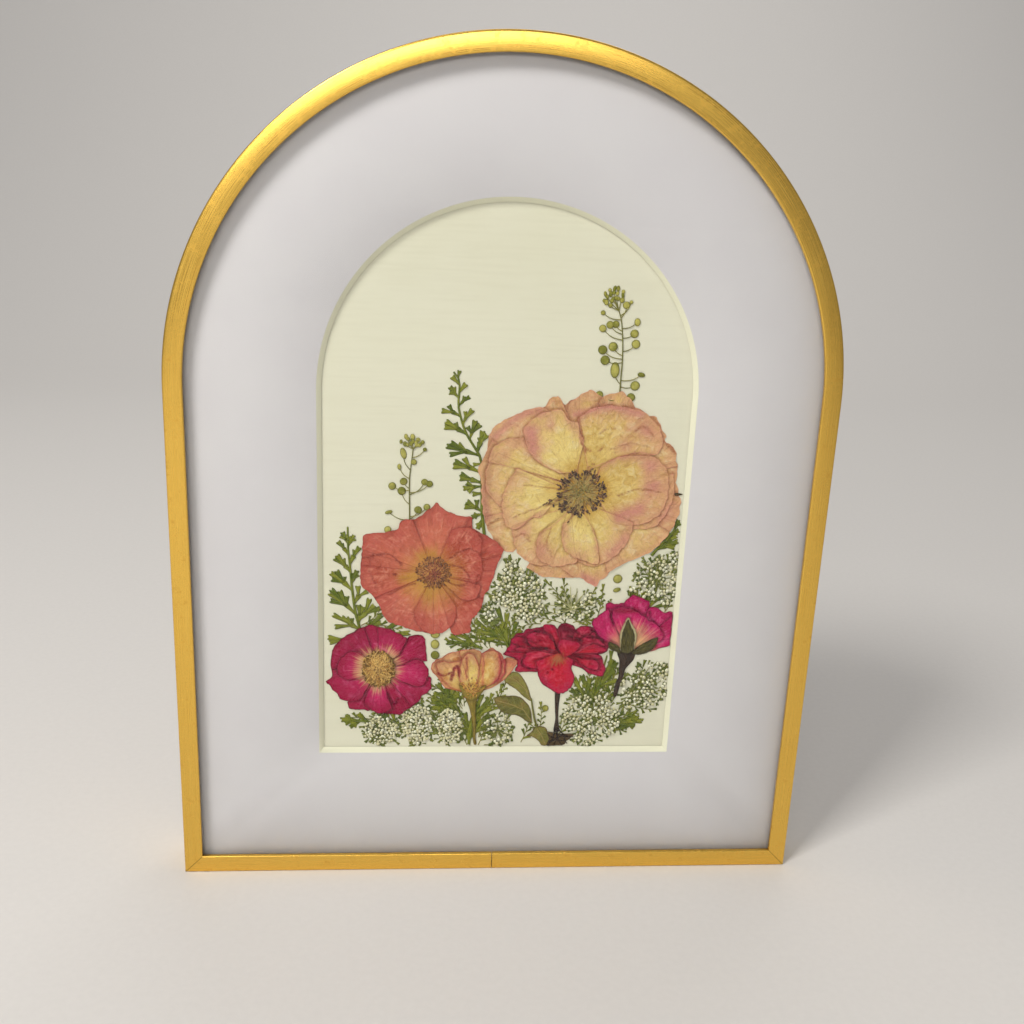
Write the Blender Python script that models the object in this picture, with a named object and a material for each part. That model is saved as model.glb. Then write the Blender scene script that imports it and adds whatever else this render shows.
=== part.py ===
"""Arched metal picture frame with a window mat and a pressed flower arrangement behind the glazing.

The frame stands on its flat bottom rail, front towards -Y, with the origin at the centre of its base.
Every outline is drawn in millimetres on the frame's own plane: x to the right and z up from the base,
with a depth that counts backwards from the front face of the rail.
"""

import math

import bmesh
import bpy
from mathutils import Vector

MM = 0.001

# Driving dimensions of the frame, in millimetres.
OUTER_WIDTH = 216.0
OUTER_HEIGHT = 280.0
DEPTH = 20.0
FACE_WIDTH = 6.2
FACE_THICKNESS = 1.4
WALL_THICKNESS = 1.2
REAR_LIP_WIDTH = 3.2
REAR_LIP_THICKNESS = 1.2
EDGE_CHAMFER = 0.4
SEAM_GAP = 0.25

# The flat layers behind the face, front to back. Each rests on the next one.
CONTACT_GAP = 0.3
GLASS_THICKNESS = 1.6
MAT_THICKNESS = 1.5
CARD_THICKNESS = 0.4
BOARD_THICKNESS = 3.0
WINDOW_HALF_WIDTH = 61.2
WINDOW_BASE = 45.0

# Pressed material: four layers between the glazing and the card.
PETAL_THICKNESS = 0.15

ARC_STEPS = 48
SHARP_ANGLE = math.radians(30.0)

HALF_WIDTH = OUTER_WIDTH / 2
SPRING = OUTER_HEIGHT - HALF_WIDTH
INNER_RADIUS = HALF_WIDTH - WALL_THICKNESS - CONTACT_GAP
INNER_BASE = WALL_THICKNESS + CONTACT_GAP

GLASS_FRONT = FACE_THICKNESS + CONTACT_GAP
GLASS_BACK = GLASS_FRONT + GLASS_THICKNESS
MAT_FRONT = GLASS_BACK + CONTACT_GAP
MAT_BACK = MAT_FRONT + MAT_THICKNESS
CARD_FRONT = MAT_BACK + CONTACT_GAP
CARD_BACK = CARD_FRONT + CARD_THICKNESS
BOARD_FRONT = CARD_BACK + CONTACT_GAP
BOARD_BACK = BOARD_FRONT + BOARD_THICKNESS

# Front face of each layer of pressed material: greenery lies on the card, stamens nearest the glazing.
LAYER_PITCH = PETAL_THICKNESS + CONTACT_GAP
STAMEN_LAYER = MAT_FRONT
FRONT_LAYER = STAMEN_LAYER + LAYER_PITCH
BACK_LAYER = FRONT_LAYER + LAYER_PITCH
GREEN_LAYER = BACK_LAYER + LAYER_PITCH

for old in list(bpy.data.objects):
    bpy.data.objects.remove(old)


def material(name, colour, roughness, metallic=0.0, transmission=0.0):
    """A Principled material of one plain colour."""
    made = bpy.data.materials.new(name)
    made.use_nodes = True
    shader = made.node_tree.nodes["Principled BSDF"]
    shader.inputs["Base Color"].default_value = (*colour, 1.0)
    shader.inputs["Roughness"].default_value = roughness
    shader.inputs["Metallic"].default_value = metallic
    shader.inputs["Transmission Weight"].default_value = transmission
    return made


GOLD = material("gold_metal", (0.78, 0.49, 0.16), 0.32, 1.0)
GLASS = material("clear_glass", (0.95, 0.97, 0.96), 0.03, 0.0, 1.0)
MAT = material("mat_board", (0.66, 0.64, 0.65), 0.9)
CARD = material("ivory_card", (0.74, 0.71, 0.56), 0.85)
BOARD = material("fibreboard", (0.30, 0.19, 0.11), 0.8)
STEEL = material("plated_steel", (0.55, 0.55, 0.53), 0.35, 1.0)
PEACH = material("peach_petal", (0.66, 0.42, 0.20), 0.75)
PEACH_INNER = material("peach_inner_petal", (0.72, 0.50, 0.24), 0.75)
CORAL = material("coral_petal", (0.58, 0.15, 0.10), 0.7)
MAGENTA = material("magenta_petal", (0.38, 0.02, 0.07), 0.7)
APRICOT = material("apricot_petal", (0.65, 0.33, 0.13), 0.7)
RED = material("red_petal", (0.42, 0.02, 0.03), 0.65)
CERISE = material("cerise_petal", (0.45, 0.04, 0.12), 0.7)
DARK_STAMEN = material("dark_stamen", (0.12, 0.07, 0.04), 0.8)
BROWN_STAMEN = material("brown_stamen", (0.25, 0.08, 0.03), 0.8)
GOLD_STAMEN = material("gold_stamen", (0.45, 0.30, 0.10), 0.8)
TAN_STEM = material("tan_stem", (0.38, 0.25, 0.09), 0.75)
DARK_STEM = material("dark_stem", (0.10, 0.06, 0.04), 0.75)
SEPAL = material("sepal", (0.14, 0.12, 0.04), 0.75)
FERN = material("fern", (0.16, 0.18, 0.04), 0.75)
LEAF = material("rose_leaf", (0.20, 0.17, 0.05), 0.7)
POD = material("seed_pod", (0.33, 0.28, 0.08), 0.7)
FLORET = material("white_floret", (0.60, 0.55, 0.38), 0.85)


def place(x, z, depth):
    """A point of the frame's plane at a depth behind the front face, in metres."""
    return Vector((x, depth - DEPTH / 2, z)) * MM


def skin(name, rings, look, closed):
    """One body from equal rings of points: walls between neighbours, and caps unless the rings close up."""
    mesh = bmesh.new()
    made = [[mesh.verts.new(point) for point in ring] for ring in rings]
    count = len(rings[0])
    pairs = list(zip(made, made[1:] + made[:1])) if closed else list(zip(made, made[1:]))
    for near, far in pairs:
        for i in range(count):
            j = (i + 1) % count
            mesh.faces.new((near[i], near[j], far[j], far[i]))
    if not closed:
        mesh.faces.new(made[0])
        mesh.faces.new(made[-1])
    return finish(name, mesh, look)


def plate(name, outline, front, thickness, look):
    """A flat piece: its outline as one face, extruded backwards."""
    mesh = bmesh.new()
    face = mesh.faces.new([mesh.verts.new(place(x, z, front)) for x, z in outline])
    grown = bmesh.ops.extrude_face_region(mesh, geom=[face])["geom"]
    moved = [item for item in grown if isinstance(item, bmesh.types.BMVert)]
    bmesh.ops.translate(mesh, verts=moved, vec=(0, thickness * MM, 0))
    return finish(name, mesh, look)


def finish(name, mesh, look):
    """An object of its own. Its round stretches are shaded smooth and its edges stay sharp."""
    bmesh.ops.recalc_face_normals(mesh, faces=mesh.faces)
    data = bpy.data.meshes.new(name)
    mesh.to_mesh(data)
    mesh.free()
    data.shade_smooth()
    data.set_sharp_from_angle(angle=SHARP_ANGLE)
    data.materials.append(look)
    made = bpy.data.objects.new(name, data)
    bpy.context.scene.collection.objects.link(made)
    return made


def pressed(name, outline, layer, look):
    return plate(name, outline, layer, PETAL_THICKNESS, look)


# The frame: one strip of metal, folded at the two lower corners and butted in the middle of the base.


def arch(radius, base):
    """An arched outline round the frame's centre line, from the lower left corner over the top."""
    points = [(radius, base), (-radius, base)]
    for i in range(ARC_STEPS + 1):
        angle = math.pi * (1 - i / ARC_STEPS)
        points.append((radius * math.cos(angle), SPRING + radius * math.sin(angle)))
    return points


def rail_profile():
    """The strip's section: inward distance from the outer edge, and depth behind the front."""
    wall, lip = WALL_THICKNESS, REAR_LIP_THICKNESS
    return [
        (EDGE_CHAMFER, 0.0),
        (FACE_WIDTH - EDGE_CHAMFER / 2, 0.0),
        (FACE_WIDTH, EDGE_CHAMFER / 2),
        (FACE_WIDTH, FACE_THICKNESS),
        (wall, FACE_THICKNESS),
        (wall, DEPTH - lip),
        (REAR_LIP_WIDTH, DEPTH - lip),
        (REAR_LIP_WIDTH, DEPTH),
        (EDGE_CHAMFER, DEPTH),
        (0.0, DEPTH - EDGE_CHAMFER),
        (0.0, EDGE_CHAMFER),
    ]


def rail_stations():
    """Outer edge points along the strip, each with the inward direction that its section follows."""
    seam = SEAM_GAP / 2
    stations = [((seam, 0.0), (0.0, 1.0)), ((HALF_WIDTH, 0.0), (-1.0, 1.0))]
    for i in range(ARC_STEPS + 1):
        angle = math.pi * i / ARC_STEPS
        across, up = math.cos(angle), math.sin(angle)
        stations.append(((HALF_WIDTH * across, SPRING + HALF_WIDTH * up), (-across, -up)))
    stations.append(((-HALF_WIDTH, 0.0), (1.0, 1.0)))
    stations.append(((-seam, 0.0), (0.0, 1.0)))
    return stations


rail_rings = [
    [place(x + inward * nx, z + inward * nz, depth) for inward, depth in rail_profile()]
    for (x, z), (nx, nz) in rail_stations()
]
skin("frame_rail", rail_rings, GOLD, closed=False)

pane = arch(INNER_RADIUS, INNER_BASE)
plate("glazing", pane, GLASS_FRONT, GLASS_THICKNESS, GLASS)
plate("backing_card", pane, CARD_FRONT, CARD_THICKNESS, CARD)
plate("back_board", pane, BOARD_FRONT, BOARD_THICKNESS, BOARD)

# The mat's window is cut at 45 degrees, so it is smaller at the back by the board's thickness.
window_front = arch(WINDOW_HALF_WIDTH, WINDOW_BASE)
window_back = arch(WINDOW_HALF_WIDTH - MAT_THICKNESS, WINDOW_BASE + MAT_THICKNESS)
mat_rings = [
    [place(x, z, MAT_FRONT) for x, z in pane],
    [place(x, z, MAT_BACK) for x, z in pane],
    [place(x, z, MAT_BACK) for x, z in window_back],
    [place(x, z, MAT_FRONT) for x, z in window_front],
]
skin("window_mat", mat_rings, MAT, closed=True)

# Six bent steel tabs, fixed inside the rail, hold the back board in.
TAB_WIDTH = 9.0
TAB_REACH = 13.0
TAB_RISE = 5.0
TAB_THICKNESS = 0.5


def tab(name, foot, inward):
    """An L of strip: one leg up the rail's wall, one over the board."""
    ix, iz = inward
    sx, sz = -iz * TAB_WIDTH / 2, ix * TAB_WIDTH / 2
    near = BOARD_BACK + CONTACT_GAP
    section = [
        (0.0, near),
        (TAB_REACH, near),
        (TAB_REACH, near + TAB_THICKNESS),
        (TAB_THICKNESS, near + TAB_THICKNESS),
        (TAB_THICKNESS, near + TAB_RISE),
        (0.0, near + TAB_RISE),
    ]
    rings = []
    for side in (-1, 1):
        x, z = foot[0] + side * sx, foot[1] + side * sz
        rings.append([place(x + ix * reach, z + iz * reach, depth) for reach, depth in section])
    skin(name, rings, STEEL, closed=False)


TAB_LINE = HALF_WIDTH - WALL_THICKNESS - CONTACT_GAP
SIDE_TAB_HEIGHTS = (55.0, 150.0)
for number, height in enumerate(SIDE_TAB_HEIGHTS, start=1):
    tab(f"tab_left_{number}", (-TAB_LINE, height), (1.0, 0.0))
    tab(f"tab_right_{number}", (TAB_LINE, height), (-1.0, 0.0))
tab("tab_base", (0.0, INNER_BASE), (0.0, 1.0))
TAB_TOP_CLEARANCE = 0.15
tab("tab_top", (0.0, SPRING + TAB_LINE - TAB_TOP_CLEARANCE), (0.0, -1.0))

# A sawtooth hanger bridges between its two nailed feet near the top of the back board.
HANGER_HEIGHT = 236.0
HANGER_HALF_SPAN = 24.0
HANGER_FOOT = 7.0
HANGER_HALF_WIDTH = 4.5
HANGER_THICKNESS = 0.8
HANGER_BRIDGE = 1.6
TOOTH_DEPTH = 2.2
TEETH = 9


def hanger_stations():
    """Points along the strip: (x, rise from the board, lower edge)."""
    inner = HANGER_HALF_SPAN - HANGER_FOOT
    step = 1.5
    found = [(-HANGER_HALF_SPAN, 0.0, -HANGER_HALF_WIDTH), (-inner, 0.0, -HANGER_HALF_WIDTH)]
    start = -inner + step
    pitch = -2 * start / TEETH
    for i in range(TEETH):
        found.append((start + i * pitch, HANGER_BRIDGE, -HANGER_HALF_WIDTH))
        found.append((start + (i + 0.5) * pitch, HANGER_BRIDGE, TOOTH_DEPTH - HANGER_HALF_WIDTH))
    found.append((-start, HANGER_BRIDGE, -HANGER_HALF_WIDTH))
    found.append((inner, 0.0, -HANGER_HALF_WIDTH))
    found.append((HANGER_HALF_SPAN, 0.0, -HANGER_HALF_WIDTH))
    return found


hanger_rings = []
for x, rise, low in hanger_stations():
    near = BOARD_BACK + CONTACT_GAP + rise
    hanger_rings.append(
        [
            place(x, HANGER_HEIGHT + HANGER_HALF_WIDTH, near),
            place(x, HANGER_HEIGHT + HANGER_HALF_WIDTH, near + HANGER_THICKNESS),
            place(x, HANGER_HEIGHT + low, near + HANGER_THICKNESS),
            place(x, HANGER_HEIGHT + low, near),
        ]
    )
skin("sawtooth_hanger", hanger_rings, STEEL, closed=False)

NAIL_RADIUS = 1.9
NAIL_HEAD = 0.9
NAIL_SIDES = 16
NAIL_DEPTH = BOARD_BACK + 2 * CONTACT_GAP + HANGER_THICKNESS


def ring(cx, cz, across, up, count, lobes=0, depth=0.0, turn=0.0):
    """A round or oval outline, with its edge waved in and out where lobes are asked for."""
    points = []
    for i in range(count):
        angle = math.tau * i / count
        grow = 1 + depth * math.cos(lobes * angle + turn)
        points.append((cx + across * grow * math.cos(angle), cz + up * grow * math.sin(angle)))
    return points


for side, word in ((-1, "left"), (1, "right")):
    centre = side * (HANGER_HALF_SPAN - HANGER_FOOT / 2)
    head = ring(centre, HANGER_HEIGHT, NAIL_RADIUS, NAIL_RADIUS, NAIL_SIDES)
    plate(f"hanger_nail_{word}", head, NAIL_DEPTH, NAIL_HEAD, STEEL)

# Pressed roses, each drawn round its edge. The peach rose is two layers of petals.
PEACH_EDGE = [
    (-9.0, 147.5), (-7.4, 151.2), (-6.2, 156.3), (-5.6, 159.6), (-3.8, 162.1), (0.0, 164.6),
    (4.0, 166.8), (7.5, 168.0), (11.0, 168.1), (12.8, 170.8), (15.0, 172.1), (16.8, 170.8),
    (18.6, 169.6), (21.6, 171.7), (25.9, 174.2), (29.8, 172.0), (32.0, 173.2), (35.7, 173.9),
    (38.2, 172.8), (40.1, 170.5), (43.0, 168.2), (48.3, 165.6), (50.1, 163.1), (52.5, 160.0),
    (52.0, 158.0), (54.4, 156.3), (56.1, 153.6), (55.8, 150.8), (56.8, 149.6), (57.0, 144.4),
    (58.0, 140.9), (59.4, 139.8), (58.2, 139.2), (58.7, 136.3), (58.1, 131.6), (56.3, 127.4),
    (53.8, 123.7), (51.0, 120.4), (47.5, 117.6), (41.5, 115.9), (38.1, 113.5), (35.4, 110.6),
    (33.0, 107.9), (30.4, 107.3), (27.3, 109.5), (22.0, 110.0), (16.5, 109.6), (12.0, 111.0),
    (9.0, 113.3), (6.0, 116.3), (3.4, 118.5), (0.0, 119.6), (-3.8, 123.8), (-6.6, 126.0),
    (-7.0, 129.5), (-7.8, 136.0), (-8.0, 142.0),
]  # fmt: skip
PEACH_INNER_EDGE = [
    (-5.0, 141.0), (-4.2, 149.0), (1.0, 157.0), (5.4, 163.6), (12.4, 166.4), (18.4, 165.0),
    (22.5, 165.8), (30.0, 167.6), (37.5, 166.8), (44.0, 163.0), (50.0, 156.8), (53.4, 149.0),
    (54.6, 140.0), (52.2, 131.5), (46.0, 127.4), (42.0, 121.0), (34.0, 115.4), (25.2, 116.2),
    (16.5, 114.4), (10.8, 117.0), (6.6, 124.0), (0.8, 127.4), (-3.6, 133.6),
]  # fmt: skip
pressed("peach_rose_outer_petals", PEACH_EDGE, BACK_LAYER, PEACH)
pressed("peach_rose_inner_petals", PEACH_INNER_EDGE, FRONT_LAYER, PEACH_INNER)
PEACH_STAMENS = ring(25.6, 141.4, 7.6, 7.4, 28, lobes=7, depth=0.05)
pressed("peach_rose_stamens", PEACH_STAMENS, STAMEN_LAYER, DARK_STAMEN)

CORAL_EDGE = [
    (-46.4, 123.1), (-45.0, 124.4), (-39.0, 125.3), (-34.7, 126.5), (-33.6, 129.1), (-30.0, 129.9),
    (-27.2, 131.4), (-24.3, 134.0), (-22.4, 135.6), (-20.3, 133.9), (-17.5, 132.1), (-11.0, 130.9),
    (-10.6, 128.6), (-9.8, 126.5), (-7.0, 125.3), (-4.0, 123.6), (-1.3, 121.0), (0.3, 119.1),
    (-1.1, 115.4), (-2.2, 111.3), (-3.6, 106.8), (-6.0, 104.6), (-6.4, 101.0), (-8.0, 97.8),
    (-10.0, 94.4), (-9.9, 91.6), (-10.4, 89.9), (-15.0, 88.5), (-20.5, 89.8), (-24.0, 89.1),
    (-30.0, 90.8), (-33.8, 92.4), (-37.6, 93.0), (-40.3, 98.2), (-42.2, 101.9), (-44.0, 103.8),
    (-47.0, 106.0), (-47.5, 108.4), (-46.9, 112.0), (-46.6, 118.0),
]  # fmt: skip
pressed("coral_rose_petals", CORAL_EDGE, FRONT_LAYER, CORAL)
CORAL_STAMENS = ring(-23.3, 111.0, 5.3, 5.7, 24, lobes=6, depth=0.06)
pressed("coral_rose_stamens", CORAL_STAMENS, STAMEN_LAYER, BROWN_STAMEN)

MAGENTA_EDGE = [
    (-58.9, 71.3), (-57.4, 74.7), (-57.4, 77.6), (-57.0, 81.1), (-56.4, 83.3), (-54.4, 85.4),
    (-51.9, 88.3), (-49.0, 90.1), (-46.4, 91.7), (-44.0, 92.3), (-41.5, 91.7), (-37.9, 91.0),
    (-35.0, 89.8), (-32.4, 88.2), (-31.0, 87.6), (-29.0, 88.6), (-26.8, 88.6), (-25.6, 87.2),
    (-25.0, 83.1), (-24.5, 79.0), (-23.6, 76.3), (-23.5, 72.2), (-23.0, 69.5), (-23.8, 67.4),
    (-26.0, 66.0), (-28.1, 64.0), (-30.5, 61.8), (-33.5, 59.0), (-36.5, 58.8), (-40.5, 60.0),
    (-44.5, 60.6), (-50.4, 60.7), (-51.5, 62.6), (-52.3, 64.2), (-55.5, 66.7), (-57.0, 69.2),
]  # fmt: skip
pressed("magenta_rose_petals", MAGENTA_EDGE, FRONT_LAYER, MAGENTA)
MAGENTA_STAMENS = ring(-41.0, 75.8, 5.9, 6.3, 24, lobes=8, depth=0.05)
pressed("magenta_rose_stamens", MAGENTA_STAMENS, STAMEN_LAYER, GOLD_STAMEN)

# Three roses pressed from the side, with their hips and stems.
APRICOT_EDGE = [
    (-22.7, 76.0), (-21.8, 79.7), (-20.0, 80.8), (-16.1, 82.0), (-12.0, 83.3), (-9.0, 83.4),
    (-7.0, 83.0), (-5.8, 82.1), (-4.3, 83.1), (-2.5, 83.9), (-0.7, 83.0), (0.8, 81.6),
    (3.0, 81.1), (5.2, 80.4), (6.6, 78.7), (5.5, 76.7), (3.1, 73.6), (0.7, 71.2),
    (-1.9, 69.3), (-4.5, 67.5), (-6.9, 66.0), (-11.0, 66.2), (-13.6, 67.0), (-16.8, 68.7),
    (-19.1, 70.8), (-21.0, 73.3),
]  # fmt: skip
pressed("apricot_rose_petals", APRICOT_EDGE, FRONT_LAYER, APRICOT)
APRICOT_STEM_EDGE = [
    (-12.0, 67.6), (-10.4, 63.6), (-9.7, 60.8), (-9.1, 56.0), (-8.4, 51.0), (-8.3, 47.2),
    (-7.0, 47.2), (-7.1, 51.0), (-7.8, 57.0), (-7.5, 61.0), (-6.9, 63.6), (-5.6, 67.6),
]  # fmt: skip
pressed("apricot_rose_stem", APRICOT_STEM_EDGE, BACK_LAYER, TAN_STEM)

RED_EDGE = [
    (1.5, 81.9), (2.8, 84.3), (3.9, 87.0), (5.1, 89.5), (8.6, 90.2), (11.2, 91.5),
    (14.5, 91.3), (15.2, 93.0), (18.2, 92.8), (21.8, 93.2), (25.0, 92.0), (28.4, 92.4),
    (31.0, 92.2), (32.0, 90.8), (35.3, 88.0), (37.9, 86.2), (37.9, 84.0), (37.4, 82.4),
    (34.6, 81.9), (36.0, 80.2), (36.7, 78.0), (37.2, 75.8), (36.5, 74.0), (34.0, 73.9),
    (29.5, 76.8), (25.2, 78.2), (26.0, 75.7), (26.8, 72.4), (25.8, 70.1), (23.9, 68.2),
    (21.6, 67.2), (18.6, 68.5), (16.0, 70.2), (14.1, 72.8), (13.5, 75.2), (9.5, 74.9),
    (7.1, 75.1), (5.5, 76.8), (4.8, 79.4),
]  # fmt: skip
pressed("red_rose_petals", RED_EDGE, BACK_LAYER, RED)
RED_STEM_EDGE = [
    (20.9, 66.6), (20.9, 62.0), (20.5, 57.0), (19.9, 53.2), (18.4, 52.4), (19.6, 50.4),
    (19.2, 48.6), (18.0, 47.0), (24.5, 47.0), (25.2, 48.8), (27.3, 51.2), (25.0, 51.6),
    (22.6, 50.8), (21.7, 53.0), (21.7, 57.0), (22.1, 62.0), (22.2, 66.6),
]  # fmt: skip
pressed("red_rose_stem", RED_STEM_EDGE, BACK_LAYER, DARK_STEM)

CERISE_EDGE = [
    (31.5, 94.3), (33.2, 96.4), (35.1, 97.3), (35.8, 99.0), (35.9, 100.7), (38.0, 101.2),
    (42.0, 101.0), (43.0, 102.6), (44.9, 103.4), (47.8, 103.3), (50.4, 102.2), (51.0, 100.4),
    (54.1, 99.7), (55.2, 98.3), (56.5, 97.6), (59.4, 97.9), (59.4, 86.6), (58.7, 85.0),
    (55.9, 83.7), (52.0, 82.5), (48.0, 81.8), (42.0, 82.0), (39.5, 83.3), (37.9, 85.5),
    (35.5, 88.0), (33.9, 89.3), (32.5, 91.8),
]  # fmt: skip
pressed("cerise_rose_petals", CERISE_EDGE, FRONT_LAYER, CERISE)
CERISE_CALYX_EDGE = [
    (37.8, 86.6), (39.6, 85.8), (41.4, 84.2), (42.3, 84.2), (41.7, 87.0), (41.8, 90.2),
    (43.0, 94.0), (43.9, 95.6), (44.9, 93.9), (46.6, 91.4), (47.5, 88.6), (47.2, 85.4),
    (47.4, 84.4), (48.5, 85.6), (51.6, 87.5), (54.5, 88.1), (54.0, 86.0), (52.5, 83.3),
    (49.0, 81.5), (47.4, 81.5), (46.1, 78.4), (44.4, 76.2), (43.4, 72.8), (42.3, 69.6),
    (41.9, 66.4), (40.3, 66.4), (40.6, 69.8), (41.7, 73.0), (42.2, 76.2), (41.8, 78.7),
    (41.2, 81.6), (39.3, 84.0),
]  # fmt: skip
pressed("cerise_rose_calyx", CERISE_CALYX_EDGE, STAMEN_LAYER, SEPAL)

ROSE_LEAF_EDGE = [
    (-1.2, 65.9), (1.2, 66.8), (2.6, 67.6), (1.8, 70.6), (2.4, 72.6), (4.0, 74.2),
    (6.3, 74.5), (8.8, 72.7), (10.3, 69.8), (11.8, 66.2), (12.5, 62.4), (13.3, 58.6),
    (15.2, 55.2), (18.0, 53.2), (19.7, 48.9), (16.6, 46.9), (14.4, 49.4), (13.8, 53.8),
    (12.2, 55.6), (9.6, 56.9), (4.2, 58.7), (1.8, 60.6), (-0.2, 63.0),
]  # fmt: skip
pressed("rose_leaf_spray", ROSE_LEAF_EDGE, GREEN_LAYER, LEAF)


# Fronds and sprigs: a stem with leaflets or stalked pods, joined into one body.


def joined(name, outlines, layer, look):
    """One body from flat outlines that overlap: the first takes the others in."""
    whole = pressed(name, outlines[0], layer, look)
    others = bpy.data.collections.new(f"{name}_shapes")
    bpy.context.scene.collection.children.link(others)
    for number, outline in enumerate(outlines[1:], start=1):
        shape = pressed(f"{name}_shape_{number}", outline, layer, look)
        bpy.context.scene.collection.objects.unlink(shape)
        others.objects.link(shape)
        shape.hide_render = True
        shape.display_type = "WIRE"
    union = whole.modifiers.new("join", "BOOLEAN")
    union.operation = "UNION"
    union.operand_type = "COLLECTION"
    union.collection = others


def strip(path, half_width, end_half_width):
    """The outline of a strip along a path, tapering evenly from its start to its end."""
    left, right = [], []
    last = len(path) - 1
    for i, (x, z) in enumerate(path):
        (x0, z0), (x1, z1) = path[max(i - 1, 0)], path[min(i + 1, last)]
        length = math.hypot(x1 - x0, z1 - z0)
        half = half_width + (end_half_width - half_width) * i / last
        nx, nz = half * (z1 - z0) / length, half * (x0 - x1) / length
        left.append((x - nx, z - nz))
        right.append((x + nx, z + nz))
    return left + right[::-1]


def stem_at(stem, height):
    """The point of a stem, listed upwards, at a height."""
    for (x0, z0), (x1, z1) in zip(stem, stem[1:]):
        if height <= z1:
            break
    return x0 + (height - z0) / (z1 - z0) * (x1 - x0), height


def lobe(base, tip, foot, blunt):
    """A narrow wedge from its base to a rounded tip."""
    (bx, bz), (x, z) = base, tip
    length = math.hypot(x - bx, z - bz)
    ux, uz = (x - bx) / length, (z - bz) / length
    sx, sz = x - blunt * ux, z - blunt * uz
    return [
        (bx + foot * uz, bz - foot * ux),
        (sx + blunt * uz, sz - blunt * ux),
        (x + 0.4 * blunt * uz, z - 0.4 * blunt * ux),
        (x - 0.4 * blunt * uz, z + 0.4 * blunt * ux),
        (sx - blunt * uz, sz + blunt * ux),
        (bx - foot * uz, bz + foot * ux),
    ]


def frond(name, stem, leaflets, half_width=0.35, end_half_width=0.2, blunt=0.7):
    """A fern's stem with its leaflets, each given as its height on the stem and the tips of its lobes."""
    outlines = [strip(stem, half_width, end_half_width)]
    for height, *tips in leaflets:
        base = stem_at(stem, height)
        outlines.extend(lobe(base, tip, half_width, blunt) for tip in tips)
    joined(name, outlines, GREEN_LAYER, FERN)


FERN_UPPER_STEM = [(-6.5, 124.8), (-7.6, 133.1), (-7.8, 140.6), (-8.2, 146.0), (-8.6, 150.9),
                   (-11.1, 155.1), (-13.6, 159.2), (-15.4, 164.2), (-16.3, 168.3), (-16.1, 172.9),
                   (-16.3, 176.4), (-18.1, 178.9)]  # fmt: skip
FERN_UPPER_LEAFLETS = [
    (130.5, (-8.8, 126.7)),
    (132.0, (-10.9, 130.8)),
    (132.7, (-9.4, 136.8), (-12.7, 136.2), (-13.4, 134.4)),
    (139.0, (-10.9, 138.7)),
    (141.4, (-14.0, 140.6)),
    (142.6, (-15.0, 145.5), (-15.2, 143.9)),
    (146.0, (-14.0, 150.9), (-17.1, 149.7), (-17.5, 148.0)),
    (151.8, (-16.1, 155.5), (-18.5, 155.9), (-19.8, 154.7), (-18.7, 151.3)),
    (153.0, (-6.7, 158.8), (-8.2, 160.0), (-9.4, 158.8)),
    (157.1, (-9.0, 162.1), (-10.7, 163.4), (-13.2, 161.3)),
    (158.8, (-17.1, 162.5), (-20.2, 162.9), (-20.6, 161.3)),
    (162.1, (-11.7, 166.9), (-14.0, 166.3)),
    (164.6, (-19.4, 168.1), (-21.6, 166.3)),
    (167.9, (-12.7, 171.0), (-14.4, 171.2)),
    (170.4, (-19.2, 174.1)),
]
frond("fern_upper", FERN_UPPER_STEM, FERN_UPPER_LEAFLETS)

FERN_LEFT_STEM = [(-47.2, 85.0), (-47.5, 90.8), (-48.9, 96.6), (-50.0, 104.9), (-50.8, 113.9), (-51.3, 117.8),
                  (-51.4, 122.0), (-51.5, 126.8)]  # fmt: skip
FERN_LEFT_LEAFLETS = [
    (86.6, (-58.1, 87.6), (-57.6, 85.6)),
    (87.6, (-30.6, 89.4)),
    (89.0, (-40.3, 93.2), (-40.1, 95.9)),
    (90.5, (-50.0, 94.6), (-53.6, 95.0), (-56.4, 95.8), (-55.8, 91.4)),
    (92.4, (-46.2, 98.8), (-47.9, 99.5)),
    (93.5, (-40.7, 98.2), (-44.2, 101.7)),
    (95.9, (-51.8, 102.5), (-54.2, 104.4), (-57.0, 104.9), (-57.3, 100.9)),
    (99.8, (-44.9, 104.3), (-48.1, 106.2)),
    (104.6, (-52.4, 109.4), (-55.2, 111.5), (-57.1, 110.7), (-56.8, 108.5)),
    (106.9, (-48.4, 111.7)),
    (111.0, (-53.1, 115.7), (-55.0, 117.0), (-55.8, 115.9)),
    (113.9, (-47.6, 119.9), (-49.2, 118.9)),
    (117.1, (-54.3, 121.7)),
    (121.5, (-49.4, 123.9)),
    (122.6, (-53.2, 125.0)),
]
frond("fern_left", FERN_LEFT_STEM, FERN_LEFT_LEAFLETS)

FERN_RIGHT_STEM = [(50.4, 118.2), (52.6, 121.2), (55.4, 124.6), (57.4, 127.2), (58.6, 129.9)]
FERN_RIGHT_LEAFLETS = [
    (121.4, (59.1, 124.1)),
    (123.0, (55.2, 127.9)),
    (125.4, (59.1, 127.3)),
]
frond("fern_right", FERN_RIGHT_STEM, FERN_RIGHT_LEAFLETS, half_width=0.8, end_half_width=0.5, blunt=0.9)

FERN_MIDDLE_STEM = [(4.0, 82.0), (2.6, 85.4), (0.4, 89.0), (-3.4, 94.0), (-7.1, 99.1)]
FERN_MIDDLE_LEAFLETS = [
    (84.0, (5.6, 93.8)),
    (84.6, (2.2, 97.0), (-1.2, 98.9)),
    (85.2, (-6.6, 88.2), (-1.0, 84.8)),
    (87.6, (-8.5, 93.8), (-8.0, 90.4)),
]
frond("fern_middle", FERN_MIDDLE_STEM, FERN_MIDDLE_LEAFLETS, half_width=0.7, blunt=1.1)

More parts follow.
